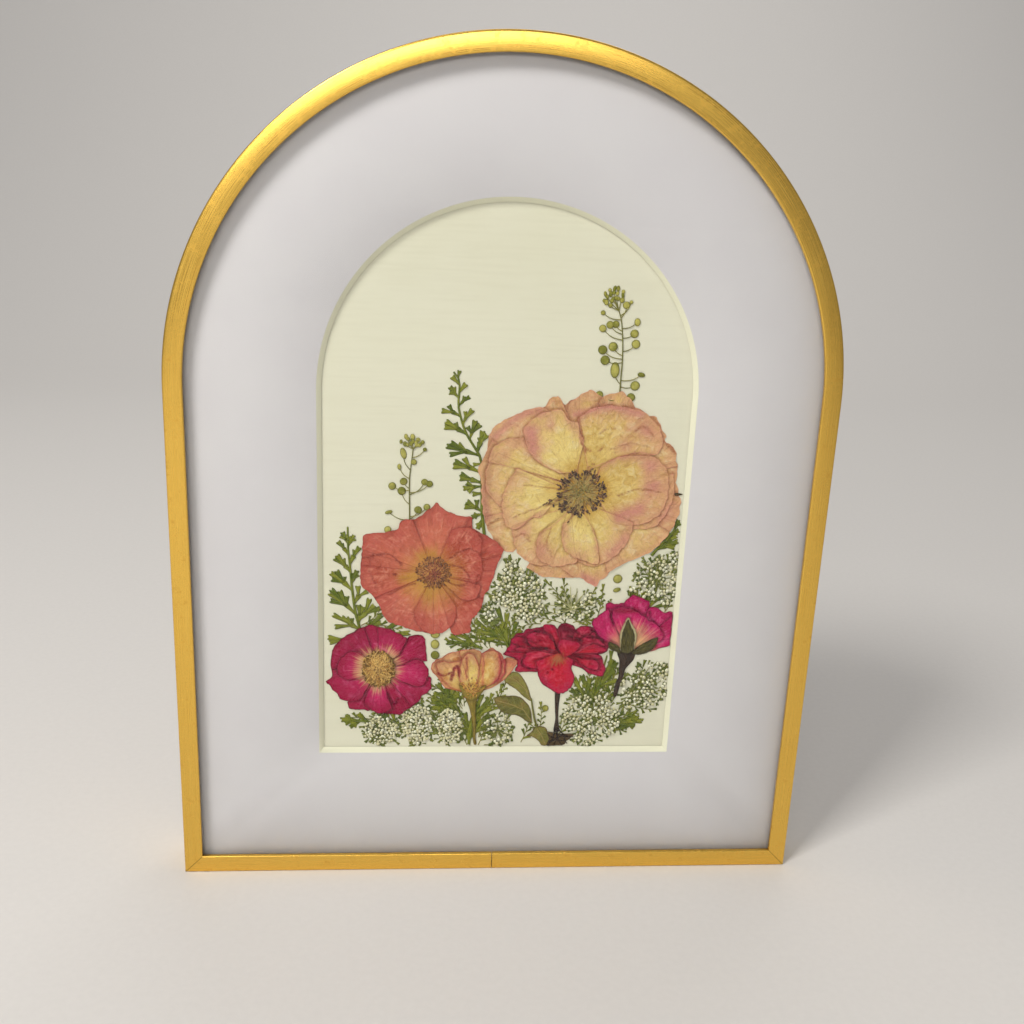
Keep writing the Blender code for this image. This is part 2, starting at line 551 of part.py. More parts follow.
FERN_CLOVER_STEM = [(-5.8, 83.8), (-9.0, 85.6), (-12.4, 89.4)]
FERN_CLOVER_LEAFLETS = [(84.6, (-17.0, 88.5), (-18.2, 86.0))]
frond(
    "fern_below_coral_rose",
    FERN_CLOVER_STEM,
    FERN_CLOVER_LEAFLETS,
    half_width=0.7,
    end_half_width=1.2,
    blunt=1.1,
)

FERN_CENTRE_STEM = [(33.4, 59.0), (33.6, 66.0), (34.4, 72.0), (36.6, 77.0), (37.6, 81.4)]
FERN_CENTRE_LEAFLETS = [
    (62.6, (32.0, 73.0), (29.2, 74.0), (27.6, 69.2)),
    (64.4, (37.2, 71.0), (35.6, 73.6)),
    (66.0, (41.2, 79.0)),
]
frond("fern_centre", FERN_CENTRE_STEM, FERN_CENTRE_LEAFLETS, blunt=0.9)

FERN_HIDDEN_STEM = [(47.6, 92.0), (48.0, 99.0), (48.2, 104.4)]
FERN_HIDDEN_LEAFLETS = [
    (96.0, (57.4, 101.0), (53.4, 102.7), (50.7, 103.4)),
    (97.0, (45.9, 105.6), (43.8, 105.2)),
]
frond(
    "fern_under_cerise_rose",
    FERN_HIDDEN_STEM,
    FERN_HIDDEN_LEAFLETS,
    half_width=1.0,
    end_half_width=0.8,
    blunt=0.9,
)

FERN_LOW_LEFT_EDGE = [(-44.4, 56.9), (-47.4, 58.0), (-48.0, 59.4), (-48.6, 57.6), (-53.6, 57.2),
                      (-53.8, 56.2), (-51.0, 55.4), (-50.6, 53.8), (-49.4, 54.4),
                      (-44.4, 55.8)]  # fmt: skip
pressed("fern_low_left", FERN_LOW_LEFT_EDGE, GREEN_LAYER, FERN)

FERN_LOW_RIGHT_EDGE = [(41.6, 56.4), (46.0, 57.0), (50.2, 57.6), (51.0, 57.2), (52.0, 56.0), (50.0, 55.6),
                       (49.0, 54.2), (45.6, 55.2), (45.8, 52.8), (43.2, 52.0), (41.6, 54.6)]  # fmt: skip
pressed("fern_low_right", FERN_LOW_RIGHT_EDGE, GREEN_LAYER, FERN)

LEAF_LEFT_OF_STEM_EDGE = [(-23.4, 65.6), (-22.4, 71.4), (-19.0, 71.6), (-13.4, 68.4), (-12.6, 64.4),
                          (-12.8, 60.8), (-17.0, 60.8), (-21.5, 60.6), (-22.6, 63.0)]  # fmt: skip
pressed("green_leaf_left_of_stem", LEAF_LEFT_OF_STEM_EDGE, GREEN_LAYER, FERN)

LEAF_BEHIND_STEM_EDGE = [(-11.6, 47.0), (-6.6, 47.2), (-6.2, 49.6), (-4.4, 51.0), (-4.2, 57.4), (-2.4, 60.0),
                         (-2.0, 65.4), (-5.0, 67.8), (-9.6, 62.4), (-11.6, 58.0), (-11.8, 52.0)]  # fmt: skip
pressed("green_leaf_behind_stem", LEAF_BEHIND_STEM_EDGE, GREEN_LAYER, FERN)

POD_SIDES = 10
STALK_HALF_WIDTH = 0.15


def sprig(name, stem, pods, tuft):
    """A stem with pods, each given as the height its stalk leaves the stem, its middle and its two radii."""
    outlines = [strip(stem, 0.35, 0.25)]
    outlines.extend(lobe(stem[-1], tip, 0.3, 0.7) for tip in tuft)
    for height, x, z, across, up in pods:
        outlines.append(strip([stem_at(stem, height), (x, z)], STALK_HALF_WIDTH, STALK_HALF_WIDTH))
        outlines.append(ring(x, z, across, up, POD_SIDES))
    joined(name, outlines, GREEN_LAYER, POD)


SPRIG_RIGHT_STEM = [(35.7, 168.0), (35.7, 177.4), (35.8, 183.7), (35.5, 190.0), (34.7, 196.3), (33.6, 199.8)]
SPRIG_RIGHT_PODS = [
    (171.0, 29.1, 172.9, 1.2, 1.2),
    (171.4, 39.4, 172.2, 1.4, 1.4),
    (175.5, 40.5, 176.0, 1.6, 1.6),
    (176.3, 33.6, 180.9, 1.5, 2.6),
    (177.6, 42.3, 179.6, 1.3, 0.8),
    (183.4, 30.2, 184.0, 1.55, 1.55),
    (184.5, 29.2, 187.3, 1.5, 1.5),
    (185.6, 32.5, 188.4, 1.5, 1.5),
    (186.9, 39.8, 189.4, 1.45, 1.45),
    (190.6, 28.8, 194.1, 1.2, 1.2),
    (191.2, 39.1, 192.7, 1.4, 1.4),
    (192.4, 31.1, 195.3, 1.25, 1.25),
    (193.4, 32.9, 195.5, 1.2, 1.2),
    (194.2, 39.8, 196.4, 1.0, 1.3),
    (197.0, 28.6, 199.0, 0.8, 0.8),
    (197.5, 35.9, 201.6, 1.2, 1.2),
    (198.2, 37.4, 202.6, 0.6, 0.6),
]
SPRIG_RIGHT_TUFT = [(34.8, 206.1), (33.0, 206.9), (31.5, 206.8), (30.1, 206.0), (29.0, 204.8), (28.5, 202.6)]
sprig("seed_pod_sprig_right", SPRIG_RIGHT_STEM, SPRIG_RIGHT_PODS, SPRIG_RIGHT_TUFT)

SPRIG_LEFT_STEM = [(-31.3, 120.0), (-31.3, 129.9), (-31.5, 139.4), (-31.5, 144.1), (-31.0, 149.0),
                   (-30.5, 153.4)]  # fmt: skip
SPRIG_LEFT_PODS = [
    (122.0, -38.4, 126.1, 1.2, 1.2),
    (129.4, -38.1, 132.1, 1.3, 0.65),
    (129.8, -28.6, 133.0, 1.3, 1.3),
    (130.6, -25.7, 134.0, 1.15, 1.15),
    (134.8, -34.0, 139.4, 1.4, 1.4),
    (138.1, -26.6, 142.5, 1.15, 1.15),
    (138.8, -25.0, 141.9, 1.15, 1.15),
    (139.6, -37.1, 141.0, 1.3, 1.3),
    (140.2, -33.4, 142.6, 1.3, 1.3),
    (143.5, -34.9, 147.5, 0.65, 1.0),
    (146.4, -33.6, 152.0, 1.0, 2.0),
    (148.6, -30.2, 149.2, 1.0, 1.0),
    (150.6, -26.7, 153.4, 0.7, 0.7),
]
SPRIG_LEFT_TUFT = [(-27.1, 155.6), (-29.1, 156.6), (-30.9, 157.5), (-32.5, 157.3), (-34.1, 155.8)]
sprig("seed_pod_sprig_left", SPRIG_LEFT_STEM, SPRIG_LEFT_PODS, SPRIG_LEFT_TUFT)

LOOSE_PODS = {
    "seed_pod_1": (-22.0, 88.9, 1.6, 1.4),
    "seed_pod_2": (-22.0, 85.3, 1.5, 1.7),
    "seed_pod_3": (-21.9, 81.3, 1.5, 1.6),
    "seed_pod_4": (39.4, 109.7, 1.6, 1.7),
    "seed_pod_5": (39.4, 105.7, 1.4, 0.8),
    "seed_pod_6": (17.0, 61.3, 1.2, 1.3),
}
for name, (x, z, across, up) in LOOSE_PODS.items():
    pressed(name, ring(x, z, across, up, 14), GREEN_LAYER, POD)

# Flat heads of tiny white flowers. Each solid is the head's whole spread.
UMBEL_TOP_EDGE = [(2.0, 116.4), (0.2, 110.6), (-1.4, 106.8), (-2.8, 102.4), (-2.4, 100.0), (1.6, 99.6),
                  (3.4, 96.6), (4.0, 94.0), (8.4, 94.0), (12.0, 96.4), (14.6, 99.0), (14.4, 104.0),
                  (13.4, 108.8), (10.4, 110.6), (7.8, 112.8), (4.8, 115.6)]  # fmt: skip
pressed("white_umbel_top", UMBEL_TOP_EDGE, BACK_LAYER, FLORET)

UMBEL_RIGHT_EDGE = [(48.4, 116.0), (52.0, 116.9), (55.6, 118.4), (59.3, 119.2), (59.3, 101.2), (55.0, 100.6),
                    (50.2, 102.2), (46.4, 104.6), (43.8, 105.6), (45.8, 108.6), (46.2, 112.4)]  # fmt: skip
pressed("white_umbel_right", UMBEL_RIGHT_EDGE, BACK_LAYER, FLORET)

UMBEL_LOW_CENTRE_EDGE = [(24.4, 62.0), (23.4, 57.0), (25.6, 53.6), (28.6, 52.2), (28.0, 48.6), (33.0, 47.2),
                         (38.0, 49.4), (42.4, 52.2), (44.2, 57.0), (42.2, 62.0), (37.4, 66.4), (30.4, 66.6),
                         (26.2, 65.2)]  # fmt: skip
pressed("white_umbel_low_centre", UMBEL_LOW_CENTRE_EDGE, BACK_LAYER, FLORET)

UMBEL_LOW_RIGHT_EDGE = [(43.2, 64.2), (42.8, 71.6), (47.2, 73.0), (48.4, 77.8), (51.6, 77.2),
                        (54.4, 79.0), (58.2, 79.2), (59.3, 76.0), (59.3, 65.6), (55.0, 62.2),
                        (50.4, 62.6), (46.4, 62.0)]  # fmt: skip
pressed("white_umbel_low_right", UMBEL_LOW_RIGHT_EDGE, BACK_LAYER, FLORET)

ROUND_UMBELS = {
    "white_umbel_middle": (24.6, 100.6, 7.4, 6.2),
    "white_umbel_small": (-4.0, 96.6, 1.9, 2.8),
    "white_umbel_low_left": (-40.0, 53.0, 6.0, 5.2),
    "white_umbel_under_magenta_rose": (-27.4, 55.2, 5.6, 7.4),
    "white_umbel_left_of_stem": (-16.4, 54.4, 4.6, 6.6),
    "white_umbel_right_of_stem": (0.8, 53.6, 5.0, 5.8),
}
for name, (x, z, across, up) in ROUND_UMBELS.items():
    head = ring(x, z, across, up, 28, lobes=7, depth=0.07)
    pressed(name, head, BACK_LAYER, FLORET)
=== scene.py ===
# %% [markdown]
# # A pressed flower frame
#
# The real object is an arched metal frame with glass, a wide mat board with a bevelled window, and an arrangement
# of pressed flowers lying on ivory card. This lesson dresses the imported model with the pieces that make it look
# real: the satin gold rail, the paper of the mat, and above all the flowers, petal by petal.
#
# The imported model comes in first. Nothing that is added may reach outside it.

# %% Open the imported model
import math

import bpy
import numpy as np
from mathutils import Matrix, Vector
from mathutils.geometry import delaunay_2d_cdt


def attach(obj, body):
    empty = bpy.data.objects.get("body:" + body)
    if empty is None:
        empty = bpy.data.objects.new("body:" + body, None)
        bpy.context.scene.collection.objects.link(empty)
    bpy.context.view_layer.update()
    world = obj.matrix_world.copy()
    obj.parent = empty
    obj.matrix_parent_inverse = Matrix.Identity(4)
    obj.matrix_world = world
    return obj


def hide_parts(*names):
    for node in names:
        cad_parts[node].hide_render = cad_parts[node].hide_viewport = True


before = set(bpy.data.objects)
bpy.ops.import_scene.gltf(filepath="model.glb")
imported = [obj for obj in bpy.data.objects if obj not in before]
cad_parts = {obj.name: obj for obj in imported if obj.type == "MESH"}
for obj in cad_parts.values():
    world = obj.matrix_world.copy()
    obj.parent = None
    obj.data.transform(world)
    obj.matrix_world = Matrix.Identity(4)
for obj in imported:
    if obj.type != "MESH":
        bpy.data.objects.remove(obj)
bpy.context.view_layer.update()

print("CAD nodes:", len(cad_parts))

# %% [markdown]
# ## Where things are
#
# Everything is measured in millimetres on the frame's own plane: x to the right, z up from the base, and a height
# h that counts forwards from the front of the ivory card. The glass presses on the flowers 2.1 mm in front of the
# card, so every petal has to fit into that gap. One function turns such a place into Blender's metres.

# %% Places on the frame
MM = 0.001
CARD_Y = -4.6
GLASS_HEIGHT = 2.1


def spots(x, z, h):
    """Places on the frame's plane, h millimetres in front of the card, as rows of metres."""
    x, z, h = np.broadcast_arrays(x, z, h)
    return np.stack([x, CARD_Y - h, z], -1) * MM


def ink(red, green, blue):
    """A colour as it is read off a screen, turned into the linear values that shaders want."""
    shares = (value / 255 for value in (red, green, blue))
    return tuple(s / 12.92 if s <= 0.04045 else ((s + 0.055) / 1.055) ** 2.4 for s in shares)


print("card at y", CARD_Y, "mm, glass", GLASS_HEIGHT, "mm in front of it")

# %% [markdown]
# ## A shorthand for node trees
#
# A material is a tree of nodes. Clicking one together by hand is easy, but writing it as text needs a shorthand:
# a Wire stands for one socket, and Python's own operators on it add Math nodes. So 1 - mask * 0.3 reads like the
# sum it is. Every other node comes from one method. The same shorthand builds the Geometry Nodes trees further down.

# %% Wires


class Wire:
    """One output socket of a tree. Operators on it add Math nodes."""

    def __init__(self, tree, socket):
        self.tree = tree
        self.socket = socket

    def maths(self, operation, *values):
        """A Math node that works on wires and numbers."""
        return self.tree.node("ShaderNodeMath", {"operation": operation}, dict(enumerate(values)))

    def __add__(self, other):
        return self.maths("ADD", self, other)

    def __sub__(self, other):
        return self.maths("SUBTRACT", self, other)

    def __rsub__(self, other):
        return self.maths("SUBTRACT", other, self)

    def __mul__(self, other):
        return self.maths("MULTIPLY", self, other)

    def __abs__(self):
        return self.maths("ABSOLUTE", self)

    __radd__ = __add__
    __rmul__ = __mul__

    def most(self, other):
        """The larger of the two."""
        return self.maths("MAXIMUM", self, other)


print("wires ready")

# %% Trees


class Tree:
    """A node tree, and one method that adds any node to it."""

    def __init__(self, tree):
        self.nodes = tree.nodes
        self.links = tree.links
        self.nodes.clear()

    def node(self, kind, settings=None, sockets=None, out=0):
        """A new node: its settings come first, then the values or links of its sockets. Gives one output."""
        made = self.nodes.new(kind)
        for key, value in (settings or {}).items():
            setattr(made, key, value)
        for key, value in (sockets or {}).items():
            self.join(made.inputs[key], value)
        return Wire(self, made.outputs[out]) if made.outputs else made

    def join(self, socket, value):
        """Links a wire to a socket, or sets a colour or a number on it."""
        if isinstance(value, Wire):
            self.links.new(value.socket, socket)
        elif socket.type == "RGBA":
            socket.default_value = (*value, 1.0)
        else:
            socket.default_value = value


print("trees ready")

# %% Finishes


class Finish(Tree):
    """A material on its way: its tree, with the few steps that every finish here uses."""

    def __init__(self, name):
        self.material = bpy.data.materials.new(name)
        self.material.use_nodes = True
        super().__init__(self.material.node_tree)

    def place(self, *scale):
        """Object coordinates in millimetres, stretched by one scale, or by one for each axis."""
        where = self.node("ShaderNodeTexCoord", out="Object")
        sizes = [s / MM for s in (scale * 3)[:3]]
        return self.node("ShaderNodeMapping", None, {"Vector": where, "Scale": sizes})

    def flat(self, along=1.0, across=1.0):
        """The piece's own UV map, in millimetres along and across the surface, stretched both ways."""
        where = self.node("ShaderNodeUVMap", {"uv_map": "flat"})
        return self.node("ShaderNodeMapping", None, {"Vector": where, "Scale": (along, across, 1.0)})

    def value(self, name):
        """A number that the piece stores at its points."""
        return self.node("ShaderNodeAttribute", {"attribute_name": name}, out="Fac")

    def axis(self, where, letter):
        """One axis of a vector."""
        return self.node("ShaderNodeSeparateXYZ", None, {0: where}, out=letter)

    def noise(self, where, detail=3.0, roughness=0.55, distortion=0.0):
        """Cloudy noise between about 0 and 1, one cloud a millimetre wide before stretching."""
        sockets = {"Vector": where, "Scale": 1.0, "Detail": detail, "Roughness": roughness, "Distortion": distortion}
        return self.node("ShaderNodeTexNoise", None, sockets)

    def ease(self, value, low, high, start=0.0, end=1.0):
        """start below low, end above high, and smooth between."""
        sockets = {"Value": value, "From Min": low, "From Max": high, "To Min": start, "To Max": end}
        return self.node("ShaderNodeMapRange", {"interpolation_type": "SMOOTHSTEP"}, sockets)

    def mix(self, share, first, second):
        """The first colour, with a share of the second in its place."""
        return self.node("ShaderNodeMix", {"data_type": "RGBA"}, {0: share, 6: first, 7: second}, out=2)

    def bump(self, height, distance):
        """A relief: height in parts of distance, which is in millimetres."""
        return self.node("ShaderNodeBump", None, {"Height": height, "Distance": distance * MM, "Strength": 1.0})

    def surface(self, **sockets):
        """The Principled shader, its sockets named in lower case."""
        named = {key.replace("_", " ").title().replace("Ior", "IOR"): value for key, value in sockets.items()}
        return self.node("ShaderNodeBsdfPrincipled", None, named)

    def done(self, shader):
        """The finished material."""
        self.node("ShaderNodeOutputMaterial", None, {"Surface": shader})
        return self.material


print("finishes ready")

# %% [markdown]
# ## The camera
#
# The photograph was taken from a little above the middle of the frame and slightly to its left. Four corners and
# the arch in the picture fix where the lens was, so its place and its three directions go in as numbers.

# %% Camera
lens = bpy.data.cameras.new("camera")
lens.lens = 39.41
lens.sensor_width = 36.0
lens.clip_start = 0.01
lens.clip_end = 50.0
camera = bpy.data.objects.new("camera", lens)
bpy.context.scene.collection.objects.link(camera)
right = Vector((0.99590, -0.08065, 0.04108))
forward = Vector((0.08907, 0.95392, -0.28653))
up = Vector((-0.01608, 0.28901, 0.95719))
turned = Matrix((right, up, -forward)).transposed()
camera.matrix_world = Matrix.Translation(Vector((-30.62, -358.88, 239.05)) * MM) @ turned.to_4x4()
bpy.context.scene.camera = camera
print("camera", tuple(round(v, 3) for v in camera.location))

# %% [markdown]
# ## Light and floor
#
# Gold and glass are only as good as what they reflect. A wide low panel stands in front and to the left, just above
# the glass's mirror line, and gives the arch its bright top. A high panel rakes over the petals and shows their
# relief, a third one lights the wall, and a pale sky fills the shadows. The floor curves up behind the frame, so
# that no horizon cuts through the picture.

# %% Light and floor


def panel(name, place, target, width, height, power, colour):
    """A soft lamp that looks at a target. Lengths in metres."""
    lamp = bpy.data.lights.new(name, "AREA")
    lamp.shape = "RECTANGLE"
    lamp.size = width
    lamp.size_y = height
    lamp.energy = power
    lamp.color = colour
    made = bpy.data.objects.new(name, lamp)
    made.location = place
    made.rotation_euler = (Vector(target) - Vector(place)).to_track_quat("-Z", "Y").to_euler()
    bpy.context.scene.collection.objects.link(made)


panel("low_panel", (-0.25, -1.6, 0.66), (0.0, 0.0, 0.18), 1.0, 0.34, 8.2, (1.0, 0.97, 0.92))
panel("raking_panel", (-0.62, -0.62, 1.10), (0.0, 0.0, 0.12), 0.34, 0.34, 12.0, (1.0, 0.975, 0.94))
panel("back_panel", (0.3, 0.9, 1.5), (0.0, 1.6, 0.1), 1.4, 0.8, 9.0, (1.0, 0.98, 0.95))

sky = bpy.data.worlds.new("sky")
sky.use_nodes = True
backdrop = sky.node_tree.nodes["Background"].inputs
backdrop["Color"].default_value = (0.80, 0.80, 0.82, 1.0)
backdrop["Strength"].default_value = 0.37
bpy.context.scene.world = sky
bpy.context.scene.view_settings.view_transform = "Standard"
bpy.context.scene.cycles.use_denoising = True

FLOOR_HALF = 6.0
BEND_START = 0.9
BEND = 1.3
WALL_TOP = 4.5
floor_data = bpy.data.meshes.new("floor")
profile = [(-FLOOR_HALF, 0.0)]
for i in range(25):
    rise = math.radians(90 * i / 24)
    profile.append((BEND_START + BEND * math.sin(rise), BEND - BEND * math.cos(rise)))
profile.append((BEND_START + BEND, WALL_TOP))
floor_points = [(side, y, z) for y, z in profile for side in (-FLOOR_HALF, FLOOR_HALF)]
floor_faces = [(2 * i, 2 * i + 1, 2 * i + 3, 2 * i + 2) for i in range(len(profile) - 1)]
floor_data.from_pydata(floor_points, [], floor_faces)
floor_data.shade_smooth()
floor = bpy.data.objects.new("floor", floor_data)
bpy.context.scene.collection.objects.link(floor)
paint = Finish("pale_floor")
speckle = paint.noise(paint.place(0.4), 4.0)
tint = paint.mix(speckle, ink(212, 209, 205), ink(219, 216, 212))
floor_data.materials.append(paint.done(paint.surface(base_color=tint, roughness=0.75)))
print("three panels, a sky and a floor")

# %% [markdown]
# ## Turning rows of points into a piece
#
# Most pieces here are worked out as arrays of numbers. One function makes the mesh, its smooth shading, its named
# values and its flat map, and hands the piece to the frame.

# %% From numbers to a piece


def settle(piece, replaced):
    """The piece rides on the frame and stands for its CAD nodes, which are hidden."""
    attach(piece, "root")
    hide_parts(*replaced)


def make_piece(name, points, faces, looks, replaced, values=None, flat=None, slots=None, angle=50.0):
    """A finished piece: points in metres, faces by index, and values that its material reads at each point."""
    data = bpy.data.meshes.new(name)
    data.from_pydata(np.asarray(points).tolist(), [], faces)
    for look in looks:
        data.materials.append(look)
    if slots is not None:
        data.polygons.foreach_set("material_index", slots)
    for key, numbers in (values or {}).items():
        held = data.attributes.new(key, "FLOAT", "POINT")
        held.data.foreach_set("value", np.asarray(numbers, np.float32))
    if flat is not None:
        corner = np.zeros(len(data.loops), np.int32)
        data.loops.foreach_get("vertex_index", corner)
        data.uv_layers.new(name="flat").data.foreach_set("uv", np.asarray(flat, np.float32)[corner].ravel())
    data.shade_smooth()
    data.set_sharp_from_angle(angle=math.radians(angle))
    data.update()
    made = bpy.data.objects.new(name, data)
    bpy.context.scene.collection.objects.link(made)
    settle(made, replaced)
    print(f"{name}: {len(data.vertices)} points, {sum(len(f) - 2 for f in faces)} triangles")
    return made


# %% [markdown]
# ## The rail
#
# The real rail is one strip of satin gold metal, bent round the arch, folded with a mitre at each lower corner and
# butted in the middle of the base. A sweep makes it: the strip's section, with softly rounded edges, is set at
# stations along the outer edge. At a mitre the section is stretched along the diagonal, which keeps the strip's
# width. Its flat map runs along the strip, so that the fine brushed lines follow the bend.

# %% The rail's section
HALF = 108.0
DEPTH = 20.0
SPRING = 172.0


def rounded(corner, before, after, radius, steps=4):
    """The corner between two straight sides of a section, rounded off."""
    corner, before, after = (np.array(p, float) for p in (corner, before, after))
    inward = (before - corner) / np.linalg.norm(before - corner)
    outward = (after - corner) / np.linalg.norm(after - corner)
    start, end = corner + inward * radius, corner + outward * radius
    shares = np.linspace(0, 1, steps + 1)[:, None]
    return ((1 - shares) ** 2 * start + 2 * shares * (1 - shares) * corner + shares**2 * end).tolist()


SECTION_CORNERS = [
    ((0, 0), 0.75), ((6.2, 0), 0.45), ((6.2, 1.4), 0.12), ((1.2, 1.4), 0.1), ((1.2, 18.8), 0.1), ((3.2, 18.8), 0.1),
    ((3.2, 20), 0.2), ((0, 20), 0.5),
]  # fmt: skip
section = []
for i, (corner, radius) in enumerate(SECTION_CORNERS):
    before = SECTION_CORNERS[i - 1][0]
    after = SECTION_CORNERS[(i + 1) % len(SECTION_CORNERS)][0]
    section.extend(rounded(corner, before, after, radius))
section = np.array(section)
print("section points:", len(section))

# %% Sweep the rail
SEAM = 0.125
ARC_STEPS = 144
stations = [((SEAM, 0.0), (0.0, 1.0)), ((HALF, 0.0), (-1.0, 1.0))]
for i in range(ARC_STEPS + 1):
    angle = math.pi * i / ARC_STEPS
    outer = (HALF * math.cos(angle), SPRING + HALF * math.sin(angle))
    stations.append((outer, (-math.cos(angle), -math.sin(angle))))
stations += [((-HALF, 0.0), (1.0, 1.0)), ((-SEAM, 0.0), (0.0, 1.0))]

rail_points, rail_flat = [], []
round_section = np.concatenate([[0], np.cumsum(np.linalg.norm(np.diff(section, axis=0), axis=1))])
along, last = 0.0, stations[0][0]
for (x, z), (inward_x, inward_z) in stations:
    along += math.hypot(x - last[0], z - last[1])
    last = (x, z)
    inward, depth = section[:, 0], section[:, 1]
    rail_points.append(np.stack([x + inward * inward_x, depth - DEPTH / 2, z + inward * inward_z], -1) * MM)
    rail_flat.append(np.stack([np.full(len(section), along), round_section], -1))
ring = len(section)
rail_faces = []
for s in range(len(stations) - 1):
    for i in range(ring):
        j = (i + 1) % ring
        rail_faces.append((s * ring + i, (s + 1) * ring + i, (s + 1) * ring + j, s * ring + j))
rail_faces.append(tuple(range(ring)))
rail_faces.append(tuple(range(len(stations) * ring - 1, (len(stations) - 1) * ring - 1, -1)))
print("rail runs", round(along), "mm")

# %% [markdown]
# Satin gold is a metal with a fairly rough shine. Its colour hardly varies, so the life is in the fine lines left
# by brushing along the strip, a few faint scuffs, and a hairline of shadow where the two mitres meet.

# %% Satin gold
gold = Finish("satin_gold")
brushed = gold.noise(gold.flat(0.035, 9.0), 4.0, 0.65)
scuffs = gold.noise(gold.place(0.35), 5.0, 0.7)
where = gold.place(1.0)
x_side = abs(gold.axis(where, "X"))
z_side = gold.axis(where, "Z")
off_mitre = abs(HALF - x_side - z_side)
mitre = gold.ease(off_mitre, 0.04, 0.22, 1.0, 0.0) * gold.ease(z_side, 6.0, 6.6, 1.0, 0.0)
tone = gold.mix(brushed, ink(218, 164, 62), ink(250, 212, 108))
tone = gold.mix(gold.ease(scuffs, 0.56, 0.75) * 0.35, tone, ink(182, 124, 46))
tone = gold.mix(mitre * 0.75, tone, ink(70, 46, 18))
dull = gold.ease(brushed, 0.3, 0.7, 0.22, 0.33) + gold.ease(scuffs, 0.5, 0.8) * 0.12
satin = gold.surface(
    base_color=tone, metallic=1.0, roughness=dull, normal=gold.bump(brushed + mitre * -3.0, 0.006)
)
strip, along_strip = np.concatenate(rail_points), np.concatenate(rail_flat)
make_piece("rail", strip, rail_faces, [gold.done(satin)], ["frame_rail"], flat=along_strip, angle=35.0)

# %% [markdown]
# ## The mat and its window
#
# A mat is a 1.5 mm board: smooth pale paper outside, a cream core inside, which shows where the window is cut at
# 45 degrees. An outline for each edge of the board, joined ring by ring, makes it. The core gets its own material,
# because a real bevel is warmer than the paper and shows the fibres of the core.

# %% Mat board


def arch(radius, base, steps=120):
    """An arched outline about the frame's centre line, from the lower right corner round the top."""
    angles = np.linspace(0.0, math.pi, steps + 1)
    curve = [(radius * math.cos(a), SPRING + radius * math.sin(a)) for a in angles]
    left = [(-radius, z) for z in np.linspace(SPRING, base, 14)[1:]]
    low = [(x, base) for x in np.linspace(-radius, radius, 14)[1:]]
    side = [(radius, z) for z in np.linspace(base, SPRING, 14)[1:-1]]
    return np.array(curve + left + low + side)


WINDOW_HALF = 61.2
WINDOW_BASE = 45.0
MAT_THICK = 1.5
MAT_BACK = 0.3
MAT_FRONT = MAT_BACK + MAT_THICK
PANE = (106.5, 1.5)
SOFT = 0.06
CORE_RINGS = (3, 4)
mat_edges = [
    (PANE, MAT_FRONT - SOFT),
    ((PANE[0] - SOFT, PANE[1] + SOFT), MAT_FRONT),
    ((WINDOW_HALF + SOFT, WINDOW_BASE - SOFT), MAT_FRONT),
    ((WINDOW_HALF, WINDOW_BASE), MAT_FRONT - SOFT * 0.5),
    ((WINDOW_HALF - MAT_THICK + SOFT, WINDOW_BASE + MAT_THICK - SOFT), MAT_BACK + SOFT),
    ((WINDOW_HALF - MAT_THICK, WINDOW_BASE + MAT_THICK), MAT_BACK),
    (PANE, MAT_BACK),
]
mat_rings = [spots(*arch(*size).T, h) for size, h in mat_edges]
count = len(mat_rings[0])
mat_faces, mat_slots = [], []
for r in range(len(mat_rings)):
    n = (r + 1) % len(mat_rings)
    for i in range(count):
        j = (i + 1) % count
        mat_faces.append((r * count + i, r * count + j, n * count + j, n * count + i))
        mat_slots.append(1 if r in CORE_RINGS else 0)
print("mat edges:", len(mat_rings), "rings of", count)

# %% Paper and core
paper = Finish("mat_paper")
grain = paper.noise(paper.place(2.2), 5.0, 0.7)
cloud = paper.noise(paper.place(0.05), 3.0)
white = paper.mix(cloud, ink(209, 202, 206), ink(216, 210, 212))
white = paper.mix(paper.ease(grain, 0.35, 0.7) * 0.25, white, ink(203, 196, 197))
sheet = paper.surface(base_color=white, roughness=0.88, normal=paper.bump(grain, 0.02))
core = Finish("mat_core")
fibres = core.noise(core.place(1.5, 6.0, 1.5), 4.0, 0.7)
cream = core.mix(fibres, ink(222, 216, 188), ink(240, 235, 214))
cut = core.surface(base_color=cream, roughness=0.85, normal=core.bump(fibres, 0.03))
looks = [paper.done(sheet), core.done(cut)]
make_piece("mat", np.concatenate(mat_rings), mat_faces, looks, ["window_mat"], slots=mat_slots)

# %% [markdown]
# ## The card, the boards and the metal bits behind
#
# These keep their CAD shapes, which are right as they stand, and get real finishes: ivory card with a faint
# sideways fibre, brown fibreboard, and plated steel. The pane is picture glass with a coating that mirrors little,
# which a low index gives. Rays on their way to a lamp pass straight through it, and so does the soft light that the
# mat and the card throw at each other, so that the flowers are properly lit.

# %% Finishes of the CAD nodes
ivory = Finish("ivory_card")
laid = ivory.noise(ivory.place(0.06, 1.0, 1.1), 5.0, 0.62)
stain = ivory.noise(ivory.place(0.03), 2.0)
card = ivory.mix(stain, ink(222, 216, 192), ink(229, 223, 203))
card = ivory.mix(ivory.ease(laid, 0.4, 0.75) * 0.25, card, ink(212, 204, 180))
card_look = ivory.done(ivory.surface(base_color=card, roughness=0.85, normal=ivory.bump(laid, 0.03)))

